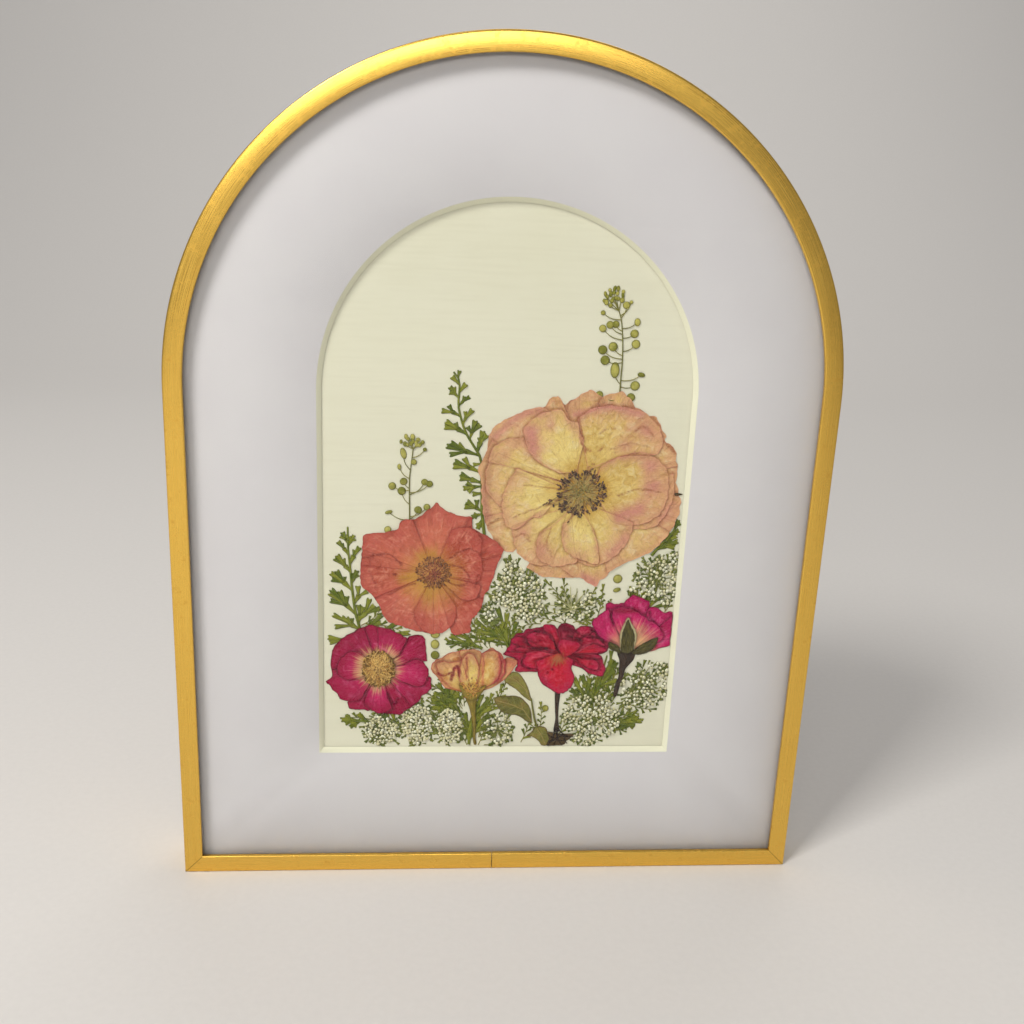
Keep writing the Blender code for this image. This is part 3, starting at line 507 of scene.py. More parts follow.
fibre = Finish("fibreboard")
felted = fibre.noise(fibre.place(0.9, 0.9, 0.5), 6.0, 0.75, 1.2)
specks = fibre.noise(fibre.place(3.0), 3.0, 0.8)
brown = fibre.mix(felted, ink(120, 88, 58), ink(158, 122, 84))
brown = fibre.mix(fibre.ease(specks, 0.6, 0.72) * 0.6, brown, ink(82, 58, 38))
board_look = fibre.done(fibre.surface(base_color=brown, roughness=0.8, normal=fibre.bump(felted, 0.08)))

steel = Finish("plated_steel")
rolled = steel.noise(steel.place(0.6, 4.0, 4.0), 5.0, 0.7)
dim = steel.noise(steel.place(0.4), 3.0)
silver = steel.mix(dim, ink(176, 172, 160), ink(206, 203, 194))
shine = steel.ease(rolled, 0.3, 0.7, 0.26, 0.42)
plate = steel.surface(base_color=silver, metallic=1.0, roughness=shine, normal=steel.bump(rolled, 0.01))
steel_look = steel.done(plate)

pane = Finish("clear_glass")
smear = pane.ease(pane.noise(pane.place(0.02, 0.02, 0.05), 3.0, 0.6, 1.0), 0.5, 0.8, 0.0, 0.02)
clear = pane.surface(base_color=(0.965, 0.985, 0.975), roughness=smear, ior=1.25, transmission_weight=1.0)
through = pane.node("ShaderNodeBsdfTransparent", None, {"Color": (0.95, 0.965, 0.96)})
lamp_ray = pane.node("ShaderNodeLightPath", out="Is Shadow Ray")
soft_ray = pane.node("ShaderNodeLightPath", out="Is Diffuse Ray")
inner = pane.node("ShaderNodeMixShader", None, {0: soft_ray, 1: clear, 2: through})
glass_look = pane.done(pane.node("ShaderNodeMixShader", None, {0: lamp_ray, 1: inner, 2: through}))

node_looks = {"glazing": glass_look, "backing_card": card_look, "back_board": board_look}
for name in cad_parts:
    if name.startswith(("tab_", "hanger_", "sawtooth_")):
        node_looks[name] = steel_look
for name, look in node_looks.items():
    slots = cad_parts[name].data.materials
    slots.clear()
    slots.append(look)
print("finished CAD nodes:", len(node_looks))

# %% [markdown]
# ## How pressed flowers pile up
#
# Flowers that were pressed and glued lie on each other like sheets of tissue. The pile is a fine grid over the
# window that remembers how high the material stands at each place. A new petal is laid over it: it follows a
# softened, slightly widened copy of the pile, as tissue would, and never sinks into what is there already.

# %% The pile


class Pile:
    """How high the pressed material stands in front of the card, in millimetres, on a grid over the window."""

    STEP = 0.25

    def __init__(self, high, left=-63.0, low=44.0):
        self.high = high
        self.left = left
        self.low = low

    def cell(self, x, z):
        """Rows and columns of places, as real numbers."""
        rows, columns = self.high.shape
        row = np.clip((np.asarray(z) - self.low) / self.STEP, 0, rows - 1.01)
        return row, np.clip((np.asarray(x) - self.left) / self.STEP, 0, columns - 1.01)

    def read(self, x, z):
        """The height at places, evened out between the cells."""
        row, column = self.cell(x, z)
        r, c = row.astype(int), column.astype(int)
        fr, fc = row - r, column - c
        near = self.high[r, c] * (1 - fc) + self.high[r, c + 1] * fc
        far = self.high[r + 1, c] * (1 - fc) + self.high[r + 1, c + 1] * fc
        return near * (1 - fr) + far * fr

    def part(self, x, z, margin=16):
        """The piece of the pile round these places."""
        row, column = self.cell(x, z)
        r, c = max(int(row.min()) - margin, 0), max(int(column.min()) - margin, 0)
        cut = self.high[r : int(row.max()) + margin, c : int(column.max()) + margin]
        return Pile(cut, self.left + c * self.STEP, self.low + r * self.STEP)

    def softened(self, widen, blur):
        """A copy of the pile, widened and then blurred by so many cells."""
        grid = self.high
        for _ in range(widen):
            wide = np.maximum(grid, np.maximum(np.roll(grid, 1, 0), np.roll(grid, -1, 0)))
            grid = np.maximum(wide, np.maximum(np.roll(wide, 1, 1), np.roll(wide, -1, 1)))
        span = 2 * blur + 1
        for axis in (0, 1, 0, 1, 0, 1):
            edges = [(blur + 1, blur) if a == axis else (0, 0) for a in (0, 1)]
            total = np.cumsum(np.pad(grid, edges, "edge"), axis)
            size = grid.shape[axis]
            grid = np.take(total, range(span, span + size), axis) - np.take(total, range(size), axis)
            grid = grid / span
        return Pile(grid, self.left, self.low)

    def raise_to(self, x, z, h):
        """Material now stands at least so high at these places."""
        row, column = self.cell(x, z)
        np.maximum.at(self.high, (np.rint(row).astype(int), np.rint(column).astype(int)), h)


pile = Pile(np.zeros((660, 506)))
print("pile grid", pile.high.shape)

# %% [markdown]
# ## Lines and sheets
#
# Petals, leaves and stems are drawn as a few corners on the frame's plane, so a smooth line through corners
# and a gentle wander are needed everywhere. A sheet is one such flat thing, a tenth of a millimetre thick: its front
# follows the pile, its back lies under it, and a strip along the edge closes it. The sheets of one flower are joined
# at the end, when it is known what lies over each of them and shades it.

# %% Lines and waves


def smooth_line(corners, count, closed=False):
    """A smooth line through the corners (Catmull-Rom), as count points at even distances."""
    p = np.array(corners, float)
    if closed:
        p = np.concatenate([p[-1:], p, p[:2]])
    else:
        p = np.concatenate([2 * p[:1] - p[1:2], p, 2 * p[-1:] - p[-2:-1]])
    t = np.linspace(0, 1, 12, endpoint=False)[:, None]
    fine = []
    for a, b, c, d in zip(p, p[1:], p[2:], p[3:]):
        fine.append(0.5 * (2 * b + (c - a) * t + (2 * a - 5 * b + 4 * c - d) * t**2 + (3 * b - a - 3 * c + d) * t**3))
    fine = np.concatenate([*fine, p[-2:-1]])
    run = np.concatenate([[0], np.cumsum(np.linalg.norm(np.diff(fine, axis=0), axis=1))])
    even = np.linspace(0, run[-1], count + closed)
    even = even[:-1] if closed else even
    return np.stack([np.interp(even, run, fine[:, 0]), np.interp(even, run, fine[:, 1])], -1)


def waves(seed, places, sizes, count=5):
    """A smooth wandering number between about -1 and 1. sizes are the wave lengths along each axis of places."""
    rng = np.random.default_rng(seed)
    total = np.zeros(np.shape(places[0]))
    for _ in range(count):
        phase = rng.uniform(0, math.tau)
        for place, size in zip(places, sizes):
            phase = phase + np.asarray(place) * math.tau / size * rng.uniform(0.5, 1.6) * rng.choice((-1, 1))
        total = total + np.sin(phase)
    return total / math.sqrt(count) / 1.4


def gap_to_line(x, z, line):
    """The distance of each place from a line of points."""
    best = np.full(np.shape(x), 1e9)
    for (ax, az), (bx, bz) in zip(line, line[1:]):
        length = max((bx - ax) ** 2 + (bz - az) ** 2, 1e-9)
        share = np.clip(((x - ax) * (bx - ax) + (z - az) * (bz - az)) / length, 0, 1)
        best = np.minimum(best, np.hypot(x - ax - share * (bx - ax), z - az - share * (bz - az)))
    return best


def inside_outline(x, z, outline):
    """True for the places inside a closed outline (even-odd rule)."""
    within = np.zeros(np.shape(x), bool)
    for (ax, az), (bx, bz) in zip(outline, np.roll(outline, -1, 0)):
        crossing = (az > z) != (bz > z)
        slope = np.where(crossing, (bx - ax) * (z - az) / ((bz - az) if bz != az else 1e-9) + ax, 0)
        within ^= crossing & (x < slope)
    return within


# %% Sheets of pressed material
SIDE_LIMIT = WINDOW_HALF - MAT_THICK - 0.2
LOW_LIMIT = WINDOW_BASE + MAT_THICK + 0.2
CLEAR_OF_GLASS = 0.12
FAR_GHOST = 9.0


class Sheets:
    """Flat things of one flower, laid on the pile one after another and joined into one piece at the end."""

    def __init__(self, name, seed):
        self.name = name
        self.seed = seed
        self.parts = []
        self.outlines = []

    def lay(self, x, z, relief, faces, border, values, flat, thick=0.09, lift=0.02):
        """Lays one sheet over the pile: its points, the faces that join them and its edge, both running one way."""
        x = np.clip(x, -SIDE_LIMIT, SIDE_LIMIT)
        z = np.maximum(z, LOW_LIMIT)
        ground = pile.part(x, z)
        under = np.maximum(ground.softened(3, 3).read(x, z), ground.softened(1, 1).read(x, z))
        back = under + lift + np.maximum(relief, 0.0)
        top = np.minimum(back + thick, GLASS_HEIGHT - CLEAR_OF_GLASS)
        back = np.minimum(back, top - 0.04)
        quads = np.array([f if len(f) == 4 else (*f, f[-1]) for f in faces])
        steps = np.linspace(0, 1, 4)
        for s in steps:
            for t in steps:
                share = np.array([(1 - s) * (1 - t), s * (1 - t), s * t, (1 - s) * t])
                pile.raise_to(x[quads] @ share, z[quads] @ share, top[quads] @ share)
        self.parts.append((x, z, top, back, faces, border, values, flat))

    def finish(self, look, replaced, slot):
        """The joined piece. Each sheet gets its back and its edge, and the shade of what lies over it."""
        crowded = pile.softened(1, 1)
        points, faces, flats, values = [], [], [], {}
        start = 0
        for x, z, top, back, own_faces, border, own_values, flat in self.parts:
            count = len(x)
            turning = sum(x[i] * z[j] - x[j] * z[i] for i, j in zip(border, border[1:] + border[:1]))
            order = 1 if turning > 0 else -1
            points += [spots(x, z, top), spots(x, z, back)]
            flats += [flat, flat]
            shade = np.clip((crowded.read(x, z) - top - 0.02) / 0.25, 0, 1)
            for key, numbers in {**own_values, "shade": shade}.items():
                values.setdefault(key, []).extend([np.broadcast_to(numbers, (count,))] * 2)
            for face in own_faces:
                faces.append(tuple(start + i for i in face[::order]))
                faces.append(tuple(start + count + i for i in face[::-order]))
            border = border[::order]
            for i, j in zip(border, border[1:] + border[:1]):
                faces.append((start + j, start + i, start + count + i, start + count + j))
            start += 2 * count
        joined = {key: np.concatenate(numbers) for key, numbers in values.items()}
        points, flats = np.concatenate(points), np.concatenate(flats)
        return make_piece(self.name, points, faces, [look], [replaced], joined, flats)


print("sheets ready")

# %% [markdown]
# ## Geometry Nodes rigs
#
# Florets, fern lobes, seed pods and anthers are one small shape repeated many times, and stalks are tubes along
# lines. Two Geometry Nodes trees do both. The first sets an item on every point of a mesh, turned and sized by
# values stored on the points. The second turns every edge chain into a tapering tube. Each ends by making its
# instances real and giving them their material, and the result is kept as a plain mesh.

# %% A rig


class Rig(Tree):
    """A Geometry Nodes tree with named inputs, run on a mesh of points and edges to give a plain piece."""

    def __init__(self, name, inputs):
        group = bpy.data.node_groups.new(name, "GeometryNodeTree")
        super().__init__(group)
        self.group = group
        self.keys = {}
        for label, kind, value in [("Geometry", "NodeSocketGeometry", None), *inputs]:
            made = group.interface.new_socket(label, in_out="INPUT", socket_type=kind)
            self.keys[label] = made.identifier
            if value is not None:
                made.default_value = value
        group.interface.new_socket("Geometry", in_out="OUTPUT", socket_type="NodeSocketGeometry")
        self.entry = self.nodes.new("NodeGroupInput")

    def given(self, label):
        """One of the tree's own inputs."""
        return Wire(self, self.entry.outputs[label])

    def stored(self, name, kind="FLOAT"):
        """A value that the mesh stores at its points."""
        return self.node("GeometryNodeInputNamedAttribute", {"data_type": kind}, {"Name": name})

    def end(self, shape):
        """Smooth shading, real geometry instead of instances, the material, and out."""
        smooth = self.node("GeometryNodeSetShadeSmooth", None, {"Geometry": shape})
        real = self.node("GeometryNodeRealizeInstances", None, {"Geometry": smooth})
        sockets = {"Geometry": real, "Material": self.given("Finish")}
        self.node("NodeGroupOutput", None, {"Geometry": self.node("GeometryNodeSetMaterial", None, sockets)})

    def run(self, name, points, edges, values, replaced, slot, **given):
        """The piece that this tree makes from points in metres, edges between them and values stored on them."""
        data = bpy.data.meshes.new(name)
        data.from_pydata(np.asarray(points).tolist(), edges, [])
        for key, numbers in values.items():
            numbers = np.asarray(numbers, np.float32)
            vector = numbers.ndim == 2
            held = data.attributes.new(key, "FLOAT_VECTOR" if vector else "FLOAT", "POINT")
            held.data.foreach_set("vector" if vector else "value", numbers.ravel())
        made = bpy.data.objects.new(name, data)
        bpy.context.scene.collection.objects.link(made)
        rig = made.modifiers.new("rig", "NODES")
        rig.node_group = self.group
        for label, value in given.items():
            rig[self.keys[label.replace("_", " ").capitalize()]] = value
        graph = bpy.context.evaluated_depsgraph_get()
        shape = made.evaluated_get(graph)
        done = bpy.data.meshes.new_from_object(shape, preserve_all_data_layers=True, depsgraph=graph)
        made.modifiers.clear()
        made.data = done
        done.name = name
        settle(made, replaced)
        print(f"{name}: {len(points)} points in, {len(done.polygons)} faces out")
        return made


print("rig class ready")

# %% Setting items on points
setter = Rig(
    "set_items_on_points",
    [
        ("Item", "NodeSocketObject", None),
        ("Size", "NodeSocketFloat", MM),
        ("Spread", "NodeSocketFloat", 0.15),
        ("Seed", "NodeSocketInt", 1),
        ("Finish", "NodeSocketMaterial", None),
    ],
)
item = setter.node("GeometryNodeObjectInfo", None, {"Object": setter.given("Item")}, out="Geometry")
least = 1.0 - setter.given("Spread")
most = 1.0 + setter.given("Spread")
chance = {2: least, 3: most, "Seed": setter.given("Seed")}
varied = setter.node("FunctionNodeRandomValue", {"data_type": "FLOAT"}, chance, out=1) * setter.given("Size")
sized = {0: setter.stored("grow", "FLOAT_VECTOR"), "Scale": varied}
placed = {
    "Points": setter.given("Geometry"),
    "Instance": item,
    "Rotation": setter.stored("turn", "FLOAT_VECTOR"),
    "Scale": setter.node("ShaderNodeVectorMath", {"operation": "SCALE"}, sized),
}
setter.end(setter.node("GeometryNodeInstanceOnPoints", None, placed))
print("rig:", setter.group.name, "with", len(setter.nodes), "nodes")

# %% Tubes along edges
tuber = Rig(
    "tubes_along_edges",
    [("Sides", "NodeSocketInt", 6), ("Size", "NodeSocketFloat", MM), ("Finish", "NodeSocketMaterial", None)],
)
line = tuber.node("GeometryNodeMeshToCurve", None, {"Mesh": tuber.given("Geometry")})
circle = tuber.node("GeometryNodeCurvePrimitiveCircle", None, {"Resolution": tuber.given("Sides"), "Radius": 1.0})
wide = tuber.stored("radius") * tuber.given("Size")
swept = {"Curve": line, "Profile Curve": circle, "Scale": wide, "Fill Caps": True}
tuber.end(tuber.node("GeometryNodeCurveToMesh", None, swept))
print("rig:", tuber.group.name, "with", len(tuber.nodes), "nodes")

# %% [markdown]
# The items themselves are small closed shapes with a few dozen faces at most, drawn about one unit long in the
# frame's plane and facing the viewer. Each carries a value that its material reads, such as how far a point is from
# the floret's eye or from the lobe's midrib.

# %% Helpers for small shapes


def around(count, reach=1.0, shift=0.0):
    """Places evenly round a circle, as pairs."""
    turns = (np.arange(count) + shift) / count * math.tau
    return [(reach * math.cos(turn), reach * math.sin(turn)) for turn in turns]


def make_item(name, points, faces, value):
    """A small closed shape for the rigs. points are (x, z, forward), value is what the material reads as "part"."""
    p = np.array(points, float)
    data = bpy.data.meshes.new(name)
    data.from_pydata(np.stack([p[:, 0], -p[:, 2], p[:, 1]], -1).tolist(), [], faces)
    held = data.attributes.new("part", "FLOAT", "POINT")
    held.data.foreach_set("value", np.array(value, np.float32))
    return bpy.data.objects.new(name, data)


def ring_faces(first, second, count):
    """Quads between two closed rings of points, given by their first index."""
    after = [(i + 1) % count for i in range(count)]
    return [(first + i, first + j, second + j, second + i) for i, j in enumerate(after)]


def fan_faces(centre, first, count, flip=False):
    """Triangles between a point and a closed ring."""
    made = [(centre, first + i, first + (i + 1) % count) for i in range(count)]
    return [face[::-1] for face in made] if flip else made


def outward(item):
    """An item's volume, positive if its faces point outwards, and how many of its edges are open."""
    co = [Vector(v.co) for v in item.data.vertices]
    total, edges = 0.0, set()
    for face in item.data.polygons:
        ids = list(face.vertices)
        for a, b in zip(ids[1:], ids[2:]):
            total += co[ids[0]].dot(co[a].cross(co[b])) / 6
        edges.update(zip(ids, ids[1:] + ids[:1]))
    return round(total, 4), sum((b, a) not in edges for a, b in edges)


print("around, make_item, ring_faces, fan_faces and outward ready")

# %% Floret and lobe
floret_points = [(0, 0, 0.2)] + [(x, z, 0.16) for x, z in around(5, 0.17, 0.5)]
for i in range(5):
    for turn, reach, rise in ((-0.3, 0.52, 0.04), (0.0, 0.43, 0.12), (0.3, 0.52, 0.04)):
        angle = math.tau * (i + turn) / 5
        floret_points.append((reach * math.cos(angle), reach * math.sin(angle), rise))
floret_points.append((0, 0, -0.08))
floret_value = [1.0] + [0.9] * 5 + [0.0] * 15 + [0.5]
floret_faces = fan_faces(0, 1, 5)
for i in range(5):
    here, after = 6 + 3 * i, 6 + 3 * ((i + 1) % 5)
    before_eye, eye = 1 + (i - 1) % 5, 1 + i
    floret_faces += [(before_eye, here, here + 1), (before_eye, here + 1, eye)]
    floret_faces += [(eye, here + 1, here + 2), (eye, here + 2, after)]
floret_faces += fan_faces(21, 6, 15, flip=True)
floret = make_item("floret", floret_points, floret_faces, floret_value)

LOBE_ROWS = [(0, 0.23), (0.35, 0.26), (0.62, 0.36), (0.83, 0.47), (0.95, 0.5), (1.02, 0.4)]
lobe_points, lobe_value = [], []
for along, half in LOBE_ROWS:
    middle = 0.93 if along > 1.0 else along
    inner = half * 0.66
    lobe_points += [(along, -half, 0), (along, -inner, 0.045), (middle, 0, 0.05), (along, inner, 0.045)]
    lobe_points += [(along, half, 0), (middle, 0, -0.04)]
    lobe_value += [1.0, 0.3, 0.0, 0.3, 1.0, 0.0]
lobe_faces = [(0, 1, 2, 3, 4, 5), (35, 34, 33, 32, 31, 30)]
for r in range(5):
    lobe_faces += ring_faces(6 * r + 6, 6 * r, 6)
lobe = make_item("lobe", lobe_points, lobe_faces, lobe_value)
for item in (floret, lobe):
    print(item.name, "faces", len(item.data.polygons), "volume and open edges", outward(item))

# %% Bean and pod
bean_points, bean_value = [(-0.5, 0, 0)], [0.0]
for along, wide in ((-0.3, 0.8), (0.05, 0.75), (0.35, 0.7)):
    for side, rise in around(6):
        bean_points.append((along, 0.3 * wide * side, 0.24 * wide * rise))
        bean_value.append(0.5 + 0.5 * rise)
bean_points.append((0.5, 0, 0))
bean_value.append(0.0)
bean_faces = fan_faces(0, 1, 6, flip=True) + ring_faces(1, 7, 6) + ring_faces(7, 13, 6) + fan_faces(19, 13, 6)
bean = make_item("bean", bean_points, bean_faces, bean_value)

pod_points, pod_value = [(0, 0, 0.13)], [0.0]
for reach, rise, value in ((0.62, 0.12, 0.45), (0.9, 0.05, 0.85), (1.0, 0.0, 1.0), (0.7, -0.1, 0.5)):
    pod_points += [(x, z, rise) for x, z in around(14, reach)]
    pod_value += [value] * 14
pod_points.append((0, 0, -0.12))
pod_value.append(0.2)
pod_faces = fan_faces(0, 1, 14) + fan_faces(57, 43, 14, flip=True)
for first in (1, 15, 29):
    pod_faces += ring_faces(first + 14, first, 14)
pod = make_item("pod", pod_points, pod_faces, pod_value)
for item in (bean, pod):
    print(item.name, "faces", len(item.data.polygons), "volume and open edges", outward(item))

# %% Scattering and drawing


def scatter(name, places, h, turn, grow, tone, node, slot, **given):
    """An item at every place, h millimetres in front of the card, each turned, sized and toned in its own way."""
    values = {"turn": turn, "grow": grow, "tone": tone}
    setter.run(name, spots(*np.transpose(places), h), [], values, [node], slot, **given)


def draw_tubes(name, paths, look, node, slot, sides=5, tone=None):
    """Tubes along paths. Each path is rows of (x, z, h, radius)."""
    points, links, wide, tones = [], [], [], []
    for number, path in enumerate(paths):
        start = sum(map(len, points))
        points.append(spots(*path[:, :3].T))
        wide.append(path[:, 3])
        tones.append(np.full(len(path), (number * 0.37) % 1.0 if tone is None else tone))
        links += [(start + i, start + i + 1) for i in range(len(path) - 1)]
    stored = {"radius": np.concatenate(wide), "tone": np.concatenate(tones)}
    return tuber.run(name, np.concatenate(points), links, stored, [node], slot, sides=sides, finish=look)


def bowed(start, end, h0, h1, thick, thin, bow=0.08, count=6):
    """A slightly curved stalk from start to end, as rows of (x, z, h, radius)."""
    (x0, z0), (x1, z1) = start, end
    t = np.linspace(0, 1, count)
    swing = bow * np.sin(math.pi * t)
    x = x0 + (x1 - x0) * t + (z1 - z0) * swing
    z = z0 + (z1 - z0) * t - (x1 - x0) * swing
    return np.stack([x, z, h0 + (h1 - h0) * t, thick + (thin - thick) * t], -1)


def press_line(start, end, half, h):
    """Tells the pile that a strip of material lies between two places."""
    (x0, z0), (x1, z1) = start, end
    length = max(math.hypot(x1 - x0, z1 - z0), 0.1)
    side_x, side_z = (z1 - z0) / length, (x0 - x1) / length
    along, across = np.meshgrid(np.linspace(0, 1, int(length / 0.2) + 2), np.linspace(-half, half, 7))
    pile.raise_to(x0 + (x1 - x0) * along + side_x * across, z0 + (z1 - z0) * along + side_z * across, h)


def press_path(path, half, h):
    """The same along a whole path."""
    for start, end in zip(path, path[1:]):
        press_line(start, end, half, h)


print("scatter, draw_tubes, bowed and press_line ready")

# %% [markdown]
# ## Ferns
#
# The fern is the lowest layer. Each frond is a thin stem, pressed flat, with leaflets. A short leaflet is one wedge
# with a blunt tip, and a long one is a short stalk that forks into several. A list gives the width of the wedges, the
# stem and, for each leaflet, its height on the stem and its tips. The rig sets one wedge to every tip, and the tube
# rig draws the stem.

# %% Finishes of the green parts


def leafy(name, low, high, dark, fleck, roughness=0.62):
    """A dried green: two greens mixed by patches, darker to the edge or the rib, with small brown flecks."""
    look = Finish(name)
    patches = look.noise(look.place(0.5), 4.0, 0.6)
    fine = look.noise(look.place(3.5), 3.0, 0.7)
    colour = look.mix(look.ease(patches + (look.value("tone") - 0.5) * 0.5, 0.25, 0.75), low, high)
    colour = look.mix(look.ease(look.value("part"), 0.4, 1.0) * 0.7, colour, dark)
    colour = look.mix(look.ease(fine, 0.56, 0.72) * 0.6, colour, fleck)
    relief = fine + look.value("part") * -0.5
    bumped = look.bump(relief, 0.05)
    return look.done(look.surface(base_color=colour, roughness=roughness, specular_ior_level=0.16, normal=bumped))


fern_look = leafy("fern_green", ink(84, 97, 22), ink(128, 130, 38), ink(54, 64, 14), ink(94, 84, 24))
stem_look = leafy("green_stem", ink(108, 106, 46), ink(142, 134, 64), ink(80, 74, 30), ink(92, 74, 34))
pod_look = leafy("seed_pod", ink(118, 118, 38), ink(184, 174, 90), ink(88, 88, 30), ink(112, 94, 36))
print("three green finishes")

# %% Fern fronds
FRONDS = {
    "fern_upper": (2.54, [(-6.5, 124.8), (-7.6, 133.1), (-7.8, 140.6), (-8.2, 146), (-8.6, 150.9), (-11.1, 155.1),
        (-13.6, 159.2), (-15.4, 164.2), (-16.3, 168.3), (-16.1, 172.9), (-16.3, 176.4), (-18.1, 178.9)],
        [(130.5, (-8.8, 126.7)), (132, (-10.9, 130.8)), (132.7, (-9.4, 136.8), (-12.7, 136.2), (-13.4, 134.4)),
        (139, (-10.9, 138.7)), (141.4, (-14, 140.6)), (142.6, (-15, 145.5), (-15.2, 143.9)),
        (146, (-14, 150.9), (-17.1, 149.7), (-17.5, 148)), (149, (-11, 148.6)), (151.8, (-16.1, 155.5),
        (-18.5, 155.9), (-19.8, 154.7), (-18.7, 151.8)), (152.5, (-9.4, 154.2)),
        (153, (-6.7, 158.8), (-8.2, 160), (-9.4, 157.8)), (157.1, (-9, 162.1), (-10.7, 163.4), (-13.2, 161.3)),
        (158.8, (-17.1, 162.5), (-20.2, 162.9), (-20.6, 161)), (162.1, (-11.7, 166.9), (-14, 166.3)),
        (164.6, (-19.4, 168.1), (-21.6, 166.3)), (167.9, (-12.7, 171), (-14.4, 171.2)), (170.4, (-19.2, 174.1)),
        (172.6, (-14, 175.2)), (175, (-18.6, 177.4)), (177, (-16.2, 179.4))]),
    "fern_left": (2.36, [(-47.2, 85), (-47.5, 90.8), (-48.9, 96.6), (-50, 104.9), (-50.8, 113.9), (-51.3, 117.8),
        (-51.4, 122), (-51.5, 126.8)], [(86.6, (-58.1, 87.6), (-57.6, 85.6)), (87.6, (-30.6, 89.4)),
        (89, (-43.2, 93.8), (-40.3, 93.2), (-40.1, 95.9)), (90.5, (-50, 94.6), (-53.6, 95), (-56.4, 95.8),
        (-55.8, 91.4), (-52, 94.8)), (92.4, (-46.2, 98.8), (-47.9, 99.5)),
        (93.5, (-40.7, 98.2), (-44.2, 101.7), (-42.6, 99.4)), (95.9, (-51.8, 102.5), (-54.2, 104.4), (-57, 104.9),
        (-57.3, 100.9), (-57.6, 103.6)), (99.8, (-44.9, 104.3), (-48.1, 106.2)), (104.6, (-52.4, 109.4),
        (-55.2, 111.5), (-57.1, 110.7), (-56.8, 108.5)), (106.9, (-48.4, 111.7)),
        (111, (-53.1, 115.7), (-55, 117), (-55.8, 115.9)), (113.9, (-47.6, 119.9), (-49.2, 118.9)),
        (117.1, (-54.7, 121.7), (-53.4, 121)), (120, (-49.4, 124)), (120.6, (-53.2, 125))]),
    "fern_right": (2.73, [(50.4, 118.2), (52.6, 121.2), (55.4, 124.6), (57.4, 127.2), (58.6, 129.9)],
        [(120.4, (59.1, 123.4)), (121.4, (58.4, 125.4)), (123, (55.2, 127.9)), (125.4, (59.1, 127.3)),
        (127, (58.6, 131))]),
    "fern_middle": (2.99, [(4, 82), (2.6, 85.4), (0.4, 89), (-3.4, 94), (-7.1, 99.1)], [(84, (5.6, 93.8)),
        (84.6, (2.2, 97), (-1.2, 98.9)), (85.2, (-6.6, 88.2), (-1, 84.8)), (86.6, (-6, 90)),
        (87.6, (-8.5, 93.8), (-8, 90.4)), (88, (0.4, 92.4))]),
    "fern_below_coral_rose": (3.12, [(-5.8, 83.8), (-9, 85.6), (-12.4, 89.4)], [(84.6, (-17, 88.5), (-18.2, 86)),
        (85, (-13, 85.4)), (85.4, (-11.2, 88.6), (-14.6, 89.2))]),
    "fern_centre": (2.98, [(33.4, 59), (33.6, 66), (34.4, 72), (36.6, 77), (37.6, 81.4)],
        [(62.6, (32, 73), (29.2, 74), (27.6, 69.2)), (64.4, (37.2, 71), (35.6, 73.6)), (66, (41.2, 79), (39.6, 80)),
        (60, (26.4, 73)), (64, (30.4, 70.4), (33, 68.8)), (67, (40.6, 76))]),
    "fern_under_cerise_rose": (2.6, [(47.6, 92), (48, 99), (48.2, 104.4)],
        [(96, (57.4, 101), (53.4, 102.7), (50.7, 103.4)), (97, (45.9, 105.6), (43.8, 105.2)), (98, (48.8, 105.4))]),
    "fern_low_left": (2.62, [(-44.4, 56.3), (-47.4, 56.4), (-50.4, 56.6)], [(56.35, (-48, 59.2)),
        (56.4, (-53.7, 56.8)), (56.38, (-50.8, 54)), (56.5, (-52.6, 57.6))]),
    "fern_low_right": (2.98, [(41.6, 55.6), (43, 55.9), (46, 56.3)], [(55.65, (51.8, 56.2)), (55.8, (50.7, 57.6)),
        (55.7, (49.2, 54.5)), (55.62, (45.6, 53)), (55.6, (43, 52.3))]),
    "green_leaf_left_of_stem": (2.6, [(-13.4, 60.8), (-15, 63), (-17.6, 65)], [(61, (-22.4, 61.4)),
        (61.6, (-23, 63.6)), (62.2, (-22.8, 65.4)), (62.6, (-21, 70.6)), (63.2, (-17.6, 70.2)), (63.6, (-14, 67.6)),
        (61.4, (-18.6, 61.2))]),
    "green_leaf_behind_stem": (2.73, [(-9.4, 47.4), (-8.8, 52), (-8, 57), (-7, 62)], [(48.4, (-11.2, 56.8)),
        (50.4, (-11.2, 59.6)), (49, (-4.9, 56.6)), (52, (-3.2, 62.4)), (55, (-2.6, 65.2)), (56, (-5.4, 66.6))]),
}  # fmt: skip
print("fronds:", len(FRONDS))

# %% Fingers


def at_height(stem, height):
    """The place on a stem, listed upwards, at a height."""
    return np.interp(height, [z for _, z in stem], [x for x, _ in stem]), height


def swung(reach, angle):
    """A direction on the frame's plane turned by an angle."""
    c, s = math.cos(angle), math.sin(angle)
    return np.array([reach[0] * c - reach[1] * s, reach[0] * s + reach[1] * c])


def divided(foot, tips, rng):
    """The fingers of one leaflet: a single wedge, or a short stalk that forks into one wedge for every tip."""
    reach = tips[0] - foot
    if len(tips) == 1 and np.hypot(*reach) < 3.6:
        return [(foot, tips[0])]
    if len(tips) == 1:
        sides = [foot + swung(reach, side * rng.uniform(0.26, 0.38)) * rng.uniform(0.72, 0.86) for side in (-1, 1)]
        tips = tips + sides
    fork = foot + (np.mean(tips, axis=0) - foot) * rng.uniform(0.38, 0.48)
    return [(foot, fork + (fork - foot) * 0.15)] + [(fork, tip) for tip in tips]


def flatten(made, floor, share):
    """Presses a piece flat: its height above the floor shrinks to a share of what it was."""
    base = spots(0.0, 0.0, floor)[1]
    for vertex in made.data.vertices:
        vertex.co.y = base + (vertex.co.y - base) * share


